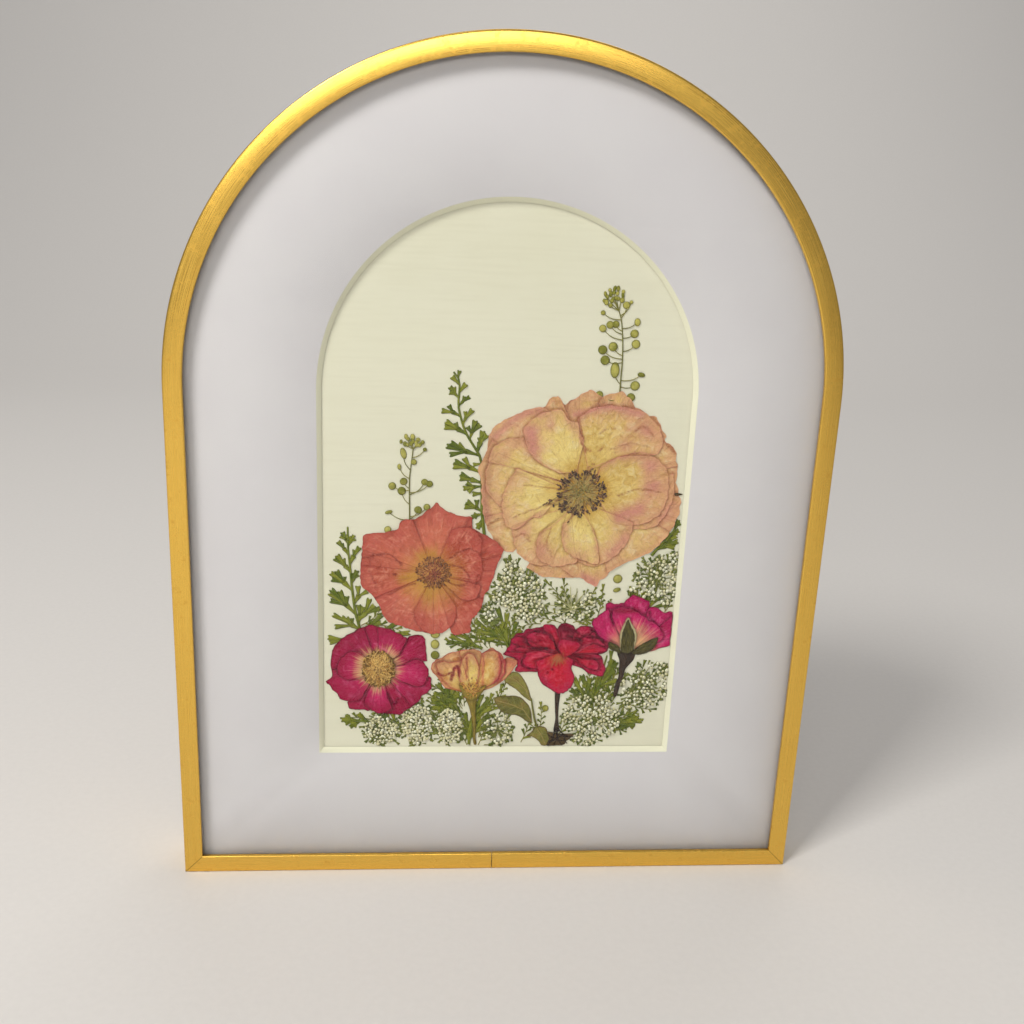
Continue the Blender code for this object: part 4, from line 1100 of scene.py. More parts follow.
def set_fingers(name, rows, wide, seed, node):
    """Green lobes from foot to tip, each a little above or below its neighbours."""
    rng = np.random.default_rng(seed)
    count = len(rows)
    feet = np.array([foot for foot, _ in rows])
    reach = np.array([tip - foot for foot, tip in rows])
    long = np.hypot(reach[:, 0], reach[:, 1])
    spread = np.minimum(wide * rng.uniform(0.85, 1.15, count) * np.clip(long / 3.4, 0.55, 1.1), 1.9)
    turn = np.stack([rng.uniform(-0.12, 0.12, count), -np.arctan2(reach[:, 1], reach[:, 0]), 0 * long], -1)
    grow = np.stack([long, np.full(count, 1.3), spread], -1)
    tone = rng.uniform(0, 1, count)
    lift = 0.08 + 0.18 * rng.permutation(count) / max(count - 1, 1)
    given = {"item": lobe, "spread": 0.0, "seed": seed, "finish": fern_look}
    scatter(name, feet, lift, turn, grow, tone, node, "fern_green", **given)
    for foot, tip in rows:
        press_line(foot, tip, wide * 0.3, 0.34)


print("fingers ready")

# %% Set the fronds
for number, (name, (wide, stem, leaflets)) in enumerate(FRONDS.items()):
    rng = np.random.default_rng(30 + number)
    rows = []
    for height, *tips in leaflets:
        rows += divided(np.array(at_height(stem, height)), [np.array(tip) for tip in tips], rng)
    set_fingers(name, rows, wide * 0.8, 40 + number, name)
    path = smooth_line(stem, 24)
    thin = np.linspace(0.55, 0.3, 24)
    rachis = [np.stack([*path.T, 0.05 + thin, thin], -1)]
    flatten(draw_tubes(f"{name}_stem", rachis, fern_look, name, "fern_green", sides=8, tone=0.4), 0.05, 0.5)
    press_path(path, 0.4, 0.58)

# %% [markdown]
# ## Sprigs of seed pods
#
# Two fine sprigs stand above the roses: a stem, thin stalks and flat round pods with a darker rim, ending in a tuft
# of tiny unopened ones. The pods are lens-shaped discs set by the rig, and a few loose ones lie among the flowers.

# %% Sprigs and loose pods
SPRIGS = {
    "seed_pod_sprig_right": ([(35.7, 168), (35.7, 177.4), (35.8, 183.7), (35.5, 190), (34.7, 196.3), (33.6, 199.8)],
        [(171, 29.1, 172.9, 1.2, 1.2), (171.4, 39.4, 172.2, 1.4, 1.4), (175.5, 40.5, 176, 1.6, 1.6),
        (176.3, 33.6, 180.9, 1.5, 2.6), (177.6, 42.3, 179.6, 1.3, 0.8), (183.4, 30.2, 184, 1.55, 1.55),
        (184.5, 29.2, 187.3, 1.5, 1.5), (185.6, 32.5, 188.4, 1.5, 1.5), (186.9, 39.8, 189.4, 1.45, 1.45),
        (190.6, 28.8, 194.1, 1.2, 1.2), (191.2, 39.1, 192.7, 1.4, 1.4), (192.4, 31.1, 195.3, 1.25, 1.25),
        (193.4, 32.9, 195.5, 1.2, 1.2), (194.2, 39.8, 196.4, 1, 1.3), (197, 28.6, 199, 0.8, 0.8),
        (197.5, 35.9, 201.6, 1.2, 1.2), (198.2, 37.4, 202.6, 0.6, 0.6)], [(34.8, 206.1), (33, 206.9), (31.5, 206.8),
        (30.1, 206), (29, 204.8), (28.5, 202.6)]),
    "seed_pod_sprig_left": ([(-31.3, 120), (-31.3, 129.9), (-31.5, 139.4), (-31.5, 144.1), (-31, 149),
        (-30.5, 153.4)], [(122, -38.4, 126.1, 1.2, 1.2), (129.4, -38.1, 132.1, 1.3, 0.65),
        (129.8, -28.6, 133, 1.3, 1.3), (130.6, -25.7, 134, 1.15, 1.15), (134.8, -34, 139.4, 1.4, 1.4),
        (138.1, -26.6, 142.5, 1.15, 1.15), (138.8, -25, 141.9, 1.15, 1.15), (139.6, -37.1, 141, 1.3, 1.3),
        (140.2, -33.4, 142.6, 1.3, 1.3), (143.5, -34.9, 147.5, 0.65, 1), (146.4, -33.6, 152, 1, 2),
        (148.6, -30.2, 149.2, 1, 1), (150.6, -26.7, 153.4, 0.7, 0.7)], [(-27.1, 155.6), (-29.1, 156.6),
        (-30.9, 157.5), (-32.5, 157.3), (-34.1, 155.8)]),
}  # fmt: skip
LOOSE_PODS = {
    "seed_pod_1": (-22, 88.9, 1.6, 1.4),
    "seed_pod_2": (-22, 85.3, 1.5, 1.7),
    "seed_pod_3": (-21.9, 81.3, 1.5, 1.6),
    "seed_pod_4": (39.4, 109.7, 1.6, 1.7),
    "seed_pod_5": (39.4, 105.7, 1.4, 0.8),
    "seed_pod_6": (17, 61.3, 1.2, 1.3),
}  # fmt: skip
print("sprigs:", len(SPRIGS), "loose pods:", len(LOOSE_PODS))

# %% Set the pods


def set_pods(name, discs, seed, node):
    """Pods as flat discs: each is (x, z, across, up)."""
    rng = np.random.default_rng(seed)
    discs = np.array(discs)
    places, count = discs[:, :2], len(discs)
    tilt = rng.uniform(-0.12, 0.12, (count, 3))
    tilt[:, 1] = rng.uniform(-0.3, 0.3, count)
    grow = np.stack([discs[:, 2], np.full(count, 1.6), discs[:, 3]], -1)
    given = {"item": pod, "spread": 0.0, "seed": seed, "finish": pod_look}
    high = pile.read(*places.T) + 0.28
    scatter(name, places, high, tilt, grow, rng.uniform(0, 1, count), node, "seed_pod", **given)
    for x, z, across, up in discs:
        press_line((x - across * 0.7, z), (x + across * 0.7, z), up * 0.8, 0.5)


print("pods ready")

# %% Set the sprigs
for number, (name, (stem, pods, tuft)) in enumerate(SPRIGS.items()):
    rng = np.random.default_rng(70 + number)
    path = smooth_line(stem, 30)
    thin = np.linspace(0.24, 0.17, 30)
    paths = [np.stack([*path.T, 0.04 + thin, thin], -1)]
    press_path(path, 0.35, 0.55)
    for height, x, z, *_ in pods:
        foot = at_height(stem, height)
        paths.append(bowed(foot, (x, z), 0.25, 0.2, 0.16, 0.11, bow=0.12 if x > foot[0] else -0.12))
    buds = []
    for tip in tuft:
        foot = np.array(stem[-1])
        paths.append(bowed(foot, tip, 0.3, 0.3, 0.16, 0.1, bow=rng.uniform(-0.1, 0.1)))
        for share in (0.55, 0.8, 1.0):
            spot = foot + (np.array(tip) - foot) * share + rng.uniform(-0.35, 0.35, 2)
            buds.append((*spot, rng.uniform(0.5, 0.8), rng.uniform(0.6, 1.0)))
    draw_tubes(f"{name}_stalks", paths, stem_look, name, "seed_pod")
    set_pods(name, [disc for _, *disc in pods] + buds, 80 + number, name)
for number, (name, disc) in enumerate(LOOSE_PODS.items()):
    set_pods(name, [disc], 90 + number, name)

# %% [markdown]
# ## Finely divided leaves
#
# Between the flowers the card is filled with leaves as fine as parsley. Each is grown by one small rule: a bent
# stalk from its foot to its tip, with fingers to the left and right in turn, shorter towards the tip. A list says
# where each leaf starts and ends, how wide it is and how much it bends.

# %% Sprouts
SPROUTS = {
    "fern_middle": [(1, 84, -8, 99, 4.2, 0.08), (3, 83, 5, 96, 3.4, -0.05), (-3, 84, -9, 92, 3.2, 0.1),
        (2, 86, -3, 96, 3.6, 0.05), (-6, 84, -9, 97, 2.8, -0.06), (4, 98, 1, 115.5, 3.4, 0.05),
        (5, 99, 9.5, 112, 3, 0.06), (5, 100, 13, 105, 2.6, 0.1), (4, 98, -5, 104, 3, 0.1),
        (6, 97, 13, 98, 2.6, -0.1)],
    "fern_below_coral_rose": [(-6, 84, -18, 87, 3.4, -0.1), (-8, 84, -14, 90.5, 3, 0.1), (-4, 84, -10, 91, 3, 0)],
    "fern_upper": [(24, 96, 15, 108.5, 2.8, 0.06), (24, 97, 21, 109, 2.6, -0.05), (25, 97, 32, 106, 2.8, 0.05),
        (26, 94, 34, 103, 2.8, -0.1), (22, 94, 14, 98, 2.6, 0.1), (27, 93, 32, 97, 2.8, 0.1),
        (33, 94, 34.6, 107, 1.8, 0.03), (21, 93.4, 8.6, 95.4, 2.6, 0.05), (25, 93.6, 34.4, 93.4, 2.6, -0.1),
        (14, 93, 5.6, 90.8, 2.2, 0.1)],
    "fern_right": [(52, 110, 45.5, 104.5, 2.8, 0.1), (53, 109, 58.5, 102, 3, 0.1), (52, 110, 57.5, 118.5, 2.8, -0.05),
        (51, 109, 46, 115, 2.8, 0.05), (53, 108, 51, 116, 2.6, 0.05)],
    "fern_under_cerise_rose": [(45, 97, 44, 106.5, 2.6, 0.04), (36, 97, 37.6, 102, 2, 0.1),
        (55, 96, 58.5, 103, 2.6, 0.1), (48, 98, 52.6, 104.5, 2.4, 0.05)],
    "fern_centre": [(36, 61, 39, 82, 2.6, 0.04), (37, 61, 45, 74, 3, -0.08), (34, 61, 31, 76, 3.4, 0.04),
        (33, 62, 26, 73, 3.4, 0.06), (35, 66, 44, 80, 2.8, 0.05), (35, 60, 35, 74, 3.2, -0.04),
        (32, 60, 26, 66, 3, 0.1), (39, 64, 41, 78, 2.2, 0.03), (46, 66, 58.5, 77, 3.2, -0.06),
        (46, 66, 51, 79, 3, 0.05), (48, 68, 58.8, 68.5, 2.8, 0.08), (45, 64, 56, 61, 2.6, 0.1),
        (44, 63, 50, 59, 2.4, 0.1)],
    "fern_low_right": [(39, 57, 51.5, 56.8, 3, -0.06), (38, 56, 46, 52.2, 2.8, 0.06), (38, 58, 49, 60, 2.6, 0.06),
        (34, 57, 29, 50, 2.6, 0.1)],
    "green_leaf_left_of_stem": [(-13, 61, -23, 70, 3.6, 0.08), (-13, 60, -24, 64, 3.6, -0.06),
        (-12, 61, -17, 71.5, 3.4, -0.05), (-12, 60, -22, 59, 3.2, 0.1), (-12, 62, -20, 72, 3.2, 0.1),
        (-13, 59, -24.4, 67, 3, 0.02), (-11.4, 62, -13.6, 69, 2.6, 0.1)],
    "green_leaf_behind_stem": [(-9, 47, -13, 60, 3.2, 0.06), (-10, 47, -17, 55, 2.8, 0.1),
        (-6, 50, -2, 66, 3.2, -0.04), (-6, 50, 1.5, 60, 3.2, 0.05), (-5, 56, 1.4, 69.5, 3, 0.05),
        (-6, 47, -3.6, 58, 2.6, 0.05), (-4, 60, 3, 72, 2.4, 0.1), (9, 48, 11.5, 58, 2.6, 0.06),
        (14.5, 50, 15.4, 63, 2.2, 0.06), (18, 47, 12, 55, 2.8, 0.1), (19.6, 48, 24.6, 58, 2.8, 0.1),
        (-4, 47, 5, 50, 2.2, 0.1)],
    "fern_low_left": [(-44, 57, -53.5, 57.4, 2.6, 0.05), (-34, 55, -43, 60.5, 3, 0.05), (-36, 54, -47, 54, 2.4, 0.06),
        (-30, 57, -26, 62, 2.4, 0.1)],
    "fern_left": [(-44, 92, -32, 89, 3, -0.1), (-47, 92, -40, 99, 2.6, 0.1)],
}  # fmt: skip
print("sprouts:", sum(map(len, SPROUTS.values())))

# %% Grow the sprouts


def sprout(foot, tip, half, bend, rng):
    """A finely divided leaf: the path of its stalk, and its fingers as rows of (foot, tip)."""
    path = bowed(foot, tip, 0.1, 0.16, 0.17, 0.09, bow=bend, count=9)
    line = path[:, :2]
    count = max(4, int(np.hypot(*(line[-1] - line[0])) / 1.6))
    fingers = [(line[-2], line[-1] + (line[-1] - line[-2]) * 0.5)]
    for number in range(count):
        share = (0.16 + 0.76 * number / count) * 8
        before = int(share)
        step = line[before + 1] - line[before]
        start = line[before] + step * (share - before)
        swing = (1 if number % 2 else -1) * rng.uniform(0.55, 0.95)
        reach = half * (1.1 - 0.07 * share) * rng.uniform(0.75, 1.15)
        fingers.append((start, start + swung(step / np.hypot(*step), swing) * reach))
    return path, fingers


for number, (node, leaves) in enumerate(SPROUTS.items()):
    rng = np.random.default_rng(120 + number)
    grown = [sprout(leaf[:2], leaf[2:4], leaf[4], leaf[5], rng) for leaf in leaves]
    draw_tubes(f"{node}_sprout_stalks", [path for path, _ in grown], stem_look, node, "fern_green")
    set_fingers(f"{node}_sprouts", [finger for _, fingers in grown for finger in fingers], 1.5, 140 + number, node)

# %% [markdown]
# ## Leaf blades
#
# A leaf has a free outline, so it isn't drawn as a fan. Its outline is filled with evenly scattered points and
# joined into triangles (a Delaunay mesh). Each point knows how far it is along the midrib and to its side, and the
# material draws the side veins from that.

# %% Blades


def along_line(x, z, line):
    """How far along a line each place lies, and how far to its side, left being positive."""
    line = np.array(line, float)
    best, along, side = np.full(np.shape(x), 1e9), np.zeros(np.shape(x)), np.zeros(np.shape(x))
    run = 0.0
    for (ax, az), (bx, bz) in zip(line, line[1:]):
        length = math.hypot(bx - ax, bz - az)
        ux, uz = (bx - ax) / length, (bz - az) / length
        t = np.clip((x - ax) * ux + (z - az) * uz, 0, length)
        away = np.hypot(x - ax - t * ux, z - az - t * uz)
        closer = away < best
        best = np.where(closer, away, best)
        along = np.where(closer, run + t, along)
        side = np.where(closer, np.sign(ux * (z - az) - uz * (x - ax)) * away, side)
        run += length
    return along, side


def blade(flower, outline, rib, tone=0.5, spacing=0.6, bulge=0.05, count=90, rough=0.08):
    """Lays a blade with a free outline. bulge raises its middle, rough frays its edge, rib is its midrib."""
    seed = flower.seed * 100 + len(flower.parts)
    line = smooth_line(outline, count, closed=True)
    run = np.arange(count) / count * 40
    away = line - line.mean(0)
    away = away / np.linalg.norm(away, axis=1)[:, None]
    line = line + away * (rough * waves(seed, [run], [2.4]))[:, None]
    closed = [*line, line[0]]
    low, high = line.min(0), line.max(0)
    gx, gz = np.meshgrid(np.arange(low[0], high[0], spacing), np.arange(low[1], high[1], spacing * 0.87))
    gx[1::2] += spacing / 2
    gx, gz = gx.ravel(), gz.ravel()
    keep = inside_outline(gx, gz, line) & (gap_to_line(gx, gz, closed) > spacing * 0.45)
    places = [Vector(p) for p in line] + [Vector(p) for p in zip(gx[keep], gz[keep])]
    ring = [(i, (i + 1) % count) for i in range(count)]
    made, _, faces, origin, _, _ = delaunay_2d_cdt(places, ring, [], 1, 1e-5)
    where = {old: new for new, olds in enumerate(origin) for old in olds}
    border = [where[i] for i in range(count)]
    x, z = np.array([p[0] for p in made]), np.array([p[1] for p in made])
    edge = gap_to_line(x, z, closed)
    along, side = along_line(x, z, rib)
    rise = bulge * np.minimum(edge / max(edge.max(), 0.1), 1) ** 0.6 + 0.04 * waves(seed + 7, [x, z], [6.0, 6.0])
    values = {"edge": edge, "reach": along / max(along.max(), 0.1), "tone": tone}
    values.update({"mark": 0.0, "blotch": 0.0, "ghost": FAR_GHOST})
    flower.lay(x, z, rise, [tuple(f) for f in faces], border, values, np.stack([along, side], -1), thick=0.1)


print("blades ready")

# %% Finish of the rose leaves
ribbed = Finish("rose_leaf")
run_along = ribbed.axis(ribbed.flat(), "X")
run_across = abs(ribbed.axis(ribbed.flat(), "Y"))
patches = ribbed.noise(ribbed.place(0.3), 4.0, 0.6)
fine = ribbed.noise(ribbed.place(4.0), 3.0, 0.7)
rib_line = ribbed.ease(run_across, 0.08, 0.3, 1.0, 0.0)
side_phase = (run_along * 0.9 - run_across * 0.75 + patches * 0.6) * 2.6
side_veins = ribbed.ease(side_phase.maths("SINE", side_phase), 0.86, 1.0)
greener = patches + (ribbed.value("tone") - 0.5) * 0.6
olive = ribbed.mix(ribbed.ease(greener, 0.3, 0.7), ink(92, 90, 32), ink(136, 128, 52))
olive = ribbed.mix(ribbed.ease(patches, 0.5, 0.66) * 0.6, olive, ink(124, 92, 44))
olive = ribbed.mix(ribbed.ease(fine, 0.5, 0.72) * 0.6, olive, ink(78, 66, 28))
olive = ribbed.mix(side_veins * 0.5, olive, ink(150, 140, 74))
olive = ribbed.mix(rib_line * 0.8, olive, ink(158, 136, 76))
olive = ribbed.mix(ribbed.ease(ribbed.value("edge"), 0.0, 0.45, 0.75, 0.0), olive, ink(84, 46, 26))
olive = ribbed.mix(ribbed.value("shade") * 0.55, olive, ink(48, 42, 20))
leaf_bump = ribbed.bump(fine * 0.5 + patches + side_veins * 0.5 + rib_line, 0.12)
leaf_look = ribbed.done(ribbed.surface(base_color=olive, roughness=0.6, specular_ior_level=0.3, normal=leaf_bump))
print("rose leaf finish:", len(ribbed.nodes), "nodes")

# %% Rose leaves
ROSE_LEAVES = [
    ([(2.2, 72.3), (4.7, 74.9), (7.3, 74.5), (9.8, 70.9), (11.3, 67.2), (11.9, 64), (9.1, 65.8), (6.6, 68.3),
        (3.6, 70.5)], [(11.9, 64), (9.6, 68.6), (6.4, 71.8), (3.4, 73.4)], 0.75),
    ([(-0.7, 65.5), (3.4, 66), (7.2, 65.8), (9.4, 64.4), (11.5, 61.7), (12.2, 59.2), (12.3, 55.8), (9.6, 57.2),
        (7.2, 58.4), (3.7, 59), (1.2, 60.6), (-0.4, 63.3)], [(12.4, 56.2), (9.4, 60.6), (5, 62.6), (-0.6, 64.6)],
        0.4),
    ([(13.7, 54.1), (15.9, 54.4), (17.8, 53.5), (18.3, 51.9), (19.4, 49.7), (18.3, 47), (16.4, 46.9), (15.1, 48.7),
        (12.9, 50.3), (11, 50.8), (12.6, 52.2)], [(14, 54.2), (16, 51), (17.6, 47.4)], 0.6),
]  # fmt: skip
leaves = Sheets("rose_leaf_spray", 3)
for outline, rib, tone in ROSE_LEAVES:
    blade(leaves, outline, rib, tone)
leaves.finish(leaf_look, "rose_leaf_spray", "rose_leaf")
stalk = smooth_line([(11.9, 65.2), (12.6, 61.0), (13.3, 57.6), (14.4, 54.0)], 14)
paths = [np.stack([*stalk.T, np.full(14, 0.62), np.linspace(0.28, 0.4, 14)], -1)]
draw_tubes("rose_leaf_stalk", paths, stem_look, "rose_leaf_spray", "rose_leaf")
press_path(stalk, 0.4, 1.0)

# %% [markdown]
# ## Heads of tiny white flowers
#
# Each head is an umbel: green rays spread from one point and end in small bunches of florets a millimetre wide.
# Places are thrown like darts inside the head's outline and kept where there is room, first for the bunches and then
# for the florets of each bunch. Rays run from the heart to every bunch, short stalks from the bunch to each floret,
# and narrow green bracts fill the gaps.

# %% Finish of the florets
petals_look = Finish("white_floret")
eye = petals_look.value("part")
tone = petals_look.value("tone")
dust = petals_look.noise(petals_look.place(3.0), 2.0)
creamy = petals_look.mix(petals_look.ease(tone, 0.1, 0.9), ink(224, 215, 172), ink(254, 250, 228))
creamy = petals_look.mix(petals_look.ease(tone, 0.8, 0.95) * 0.7, creamy, ink(176, 166, 104))
creamy = petals_look.mix(petals_look.ease(dust, 0.52, 0.75) * 0.4, creamy, ink(200, 188, 134))
creamy = petals_look.mix(petals_look.ease(eye, 0.75, 1.0) * 0.55, creamy, ink(164, 154, 88))
floret_bump = petals_look.bump(dust, 0.04)
floret_look = petals_look.done(petals_look.surface(base_color=creamy, roughness=0.7, normal=floret_bump))
ray_look = leafy("umbel_ray", ink(98, 106, 46), ink(140, 138, 74), ink(70, 78, 32), ink(92, 86, 40))
pale_look = leafy("umbel_bare_ray", ink(152, 150, 94), ink(190, 184, 132), ink(122, 118, 66), ink(120, 104, 62))
bract_look = leafy("umbel_bract", ink(84, 96, 38), ink(124, 128, 56), ink(58, 70, 26), ink(86, 80, 36))

# %% Darts
UMBELS = {
    "white_umbel_top": ((4.8, 102.2), 0.98, 2),
    "white_umbel_right": ((53.2, 110.3), 1, 1.7),
    "white_umbel_middle": ((24.4, 98.6), 0.92, 1.5),
    "white_umbel_small": ((-3.5, 94.6), 1, 2),
    "white_umbel_low_left": ((-40.5, 49.4), 0.86, 2.2),
    "white_umbel_under_magenta_rose": ((-28.4, 53), 0.84, 2.4),
    "white_umbel_left_of_stem": ((-17.6, 53.4), 0.88, 2.3),
    "white_umbel_right_of_stem": ((0.4, 52.5), 1.05, 1.6),
    "white_umbel_low_centre": ((33.8, 58.9), 0.98, 2),
    "white_umbel_low_right": ((46.3, 66), 1, 1.7),
}  # fmt: skip
BARE_RAYS = [
    (16.4, 104.4), (19.8, 105.4), (23.4, 106.8), (25.6, 106.2), (14.8, 100.4), (15.4, 96.6), (28.6, 105.4),
    (30.4, 101.6), (18.2, 102.6), (17.4, 98.4), (21.6, 104.2), (27.4, 103.4),
]  # fmt: skip


def node_triangles(name):
    """The front of a CAD node as triangles on the frame's plane, in millimetres."""
    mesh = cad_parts[name].data
    mesh.calc_loop_triangles()
    co = np.array([v.co for v in mesh.vertices])[:, [0, 2]] / MM
    tri = co[np.array([t.vertices for t in mesh.loop_triangles])]
    return tri[twice_area(tri[:, 0], tri[:, 1], tri[:, 2]) > 1e-6]


def twice_area(a, b, c):
    """Twice the area of the triangles a, b, c, positive where they turn left."""
    return (b[..., 0] - a[..., 0]) * (c[..., 1] - a[..., 1]) - (b[..., 1] - a[..., 1]) * (c[..., 0] - a[..., 0])


def in_triangles(place, tri):
    """True if a place lies in one of the triangles."""
    within = np.ones(len(tri), bool)
    for i in range(3):
        within &= twice_area(tri[:, i], tri[:, (i + 1) % 3], place) >= -1e-9
    return within.any()


def throw_darts(rng, tri, room, centres=None, reach=0.0):
    """Places inside the triangles, at least room apart, and within reach of one of the centres if there are any."""
    low, high = tri.reshape(-1, 2).min(0), tri.reshape(-1, 2).max(0)
    kept, misses = [], 0
    while misses < 400:
        dart = rng.uniform(low, high)
        crowded = bool(kept) and np.hypot(*(np.array(kept) - dart).T).min() < room
        lonely = centres is not None and np.hypot(*(centres - dart).T).min() > rng.uniform(0.55, 1.0) * reach
        if crowded or lonely or not in_triangles(dart, tri):
            misses += 1
            continue
        misses = 0
        kept.append(dart)
    return np.array(kept)


print("heads:", len(UMBELS))

# %% Umbels
THINNED = "white_umbel_middle"
BUNCH_ROOM = 2.9
BRACTS_PER_FLORET = 1.5
BRACTS_AT_HEART = (24, 2)


def open_corner(name, heart, kept, rng):
    """One head has lost most of its florets at its upper left, so its rays show."""
    if name != THINNED:
        return kept
    bare = (kept[:, 0] - heart[0]) - (kept[:, 1] - heart[1]) < -1.0
    return kept[~bare | (rng.uniform(0, 1, len(kept)) < 0.2)]


def set_rays(name, heart, bunches, kept, rise, ground, rng):
    """Rays from the heart to every bunch, and short stalks from the bunches to their florets."""
    paths = []
    for place in bunches:
        h = ground.read(*place)
        paths.append(bowed(heart, place, 0.22 + h * 0.5, h + 0.24, 0.17, 0.12, bow=rng.uniform(-0.06, 0.06)))
    for place, h in zip(kept, rise):
        nearest = bunches[np.hypot(*(bunches - place).T).argmin()]
        if np.hypot(*(nearest - place)) > 0.3:
            paths.append(bowed(nearest, place, ground.read(*nearest) + 0.2, h - 0.05, 0.11, 0.09, bow=0.1, count=4))
    draw_tubes(f"{name}_rays", paths, ray_look, name, "white_floret")
    if name == THINNED:
        bare = []
        for place in BARE_RAYS:
            h = ground.read(*place)
            bare.append(bowed(heart, place, h + 0.5, h + 0.45, 0.17, 0.12, bow=rng.uniform(-0.08, 0.08)))
        draw_tubes(f"{name}_bare_rays", bare, pale_look, name, "white_floret")


def set_bracts(name, seed, heart, kept, ground, rng):
    """Narrow green bracts among the florets and round the heart, pointing outwards."""
    near = kept[rng.integers(0, len(kept), int(len(kept) * BRACTS_PER_FLORET))]
    near = near + rng.normal(0, 0.5, near.shape)
    foot = np.concatenate([near, np.array(heart) + rng.normal(0, 0.9, BRACTS_AT_HEART)])
    out = -np.arctan2(foot[:, 1] - heart[1], foot[:, 0] - heart[0]) + rng.uniform(-1.2, 1.2, len(foot))
    turn = np.stack([rng.uniform(-0.2, 0.2, len(foot)), out, 0 * out], -1)
    size = rng.uniform(0.7, 1.3, (len(foot), 1)) * np.array([[1.9, 1.0, 0.85]])
    tone = rng.uniform(0, 1, len(foot))
    given = {"item": lobe, "spread": 0.1, "seed": seed, "finish": bract_look}
    scatter(f"{name}_bracts", foot, ground.read(*foot.T) + 0.1, turn, size, tone, name, "white_floret", **given)


def set_florets(name, seed, kept, rise, rng):
    """The florets, each tilted a little and spun round freely."""
    count = len(kept)
    lean, spin = rng.uniform(-0.35, 0.35, count), rng.uniform(0, math.tau, count)
    tilt = np.stack([lean, spin, rng.uniform(-0.35, 0.35, count)], -1)
    wide = rng.uniform(0.86, 1.32, count)
    size = np.stack([wide, wide * 0.9, wide], -1)
    given = {"item": floret, "spread": 0.08, "seed": seed, "finish": floret_look}
    scatter(name, kept, rise, tilt, size, rng.uniform(0, 1, count), name, "white_floret", **given)
    for (x, z), h in zip(kept, rise):
        press_line((x - 0.4, z), (x + 0.4, z), 0.4, h + 0.15)


print("rays, bracts and florets ready")

# %% Set the heads
for number, (name, (heart, room, reach)) in enumerate(UMBELS.items()):
    rng = np.random.default_rng(200 + number)
    tri = node_triangles(name)
    bunches = throw_darts(rng, tri, BUNCH_ROOM)
    kept = open_corner(name, heart, throw_darts(rng, tri, room, bunches, reach), rng)
    ground = pile.softened(2, 2)
    rise = ground.read(*kept.T) + rng.uniform(0.3, 0.6, len(kept))
    set_rays(name, heart, bunches, kept, rise, ground, rng)
    set_bracts(name, number, heart, kept, ground, rng)
    set_florets(name, number, kept, rise, rng)

# %% [markdown]
# ## Petals
#
# A pressed petal is a fan from its root to its rim. Rows of points run from root to rim, closer together near the
# rim, where a petal curls and frays. Radial pleats and a lifted rim give it relief. It stores how near each point is
# to the edge and to the rim, and soft marks: the blotches and dark lines seen on the real petals, painted highlights
# on folds and painted shade along creases.

# %% Marks
WANDER = 0.22
WANDER_SIZES = [4.5, 4.5]


def marks_at(x, z, marks):
    """The sum of soft strokes along slightly wandering lines: each mark is (line, width, strength)."""
    x, z = x + WANDER * waves(501, [x, z], WANDER_SIZES), z + WANDER * waves(502, [x, z], WANDER_SIZES)
    total = np.zeros(np.shape(x))
    for line, width, strength in marks:
        line = smooth_line(line, 4 * len(line)) if len(line) > 2 else [*line, line[-1]]
        total = total + strength * np.exp(-((gap_to_line(x, z, line) / width) ** 2))
    return total


print("marks ready")

# %% One petal


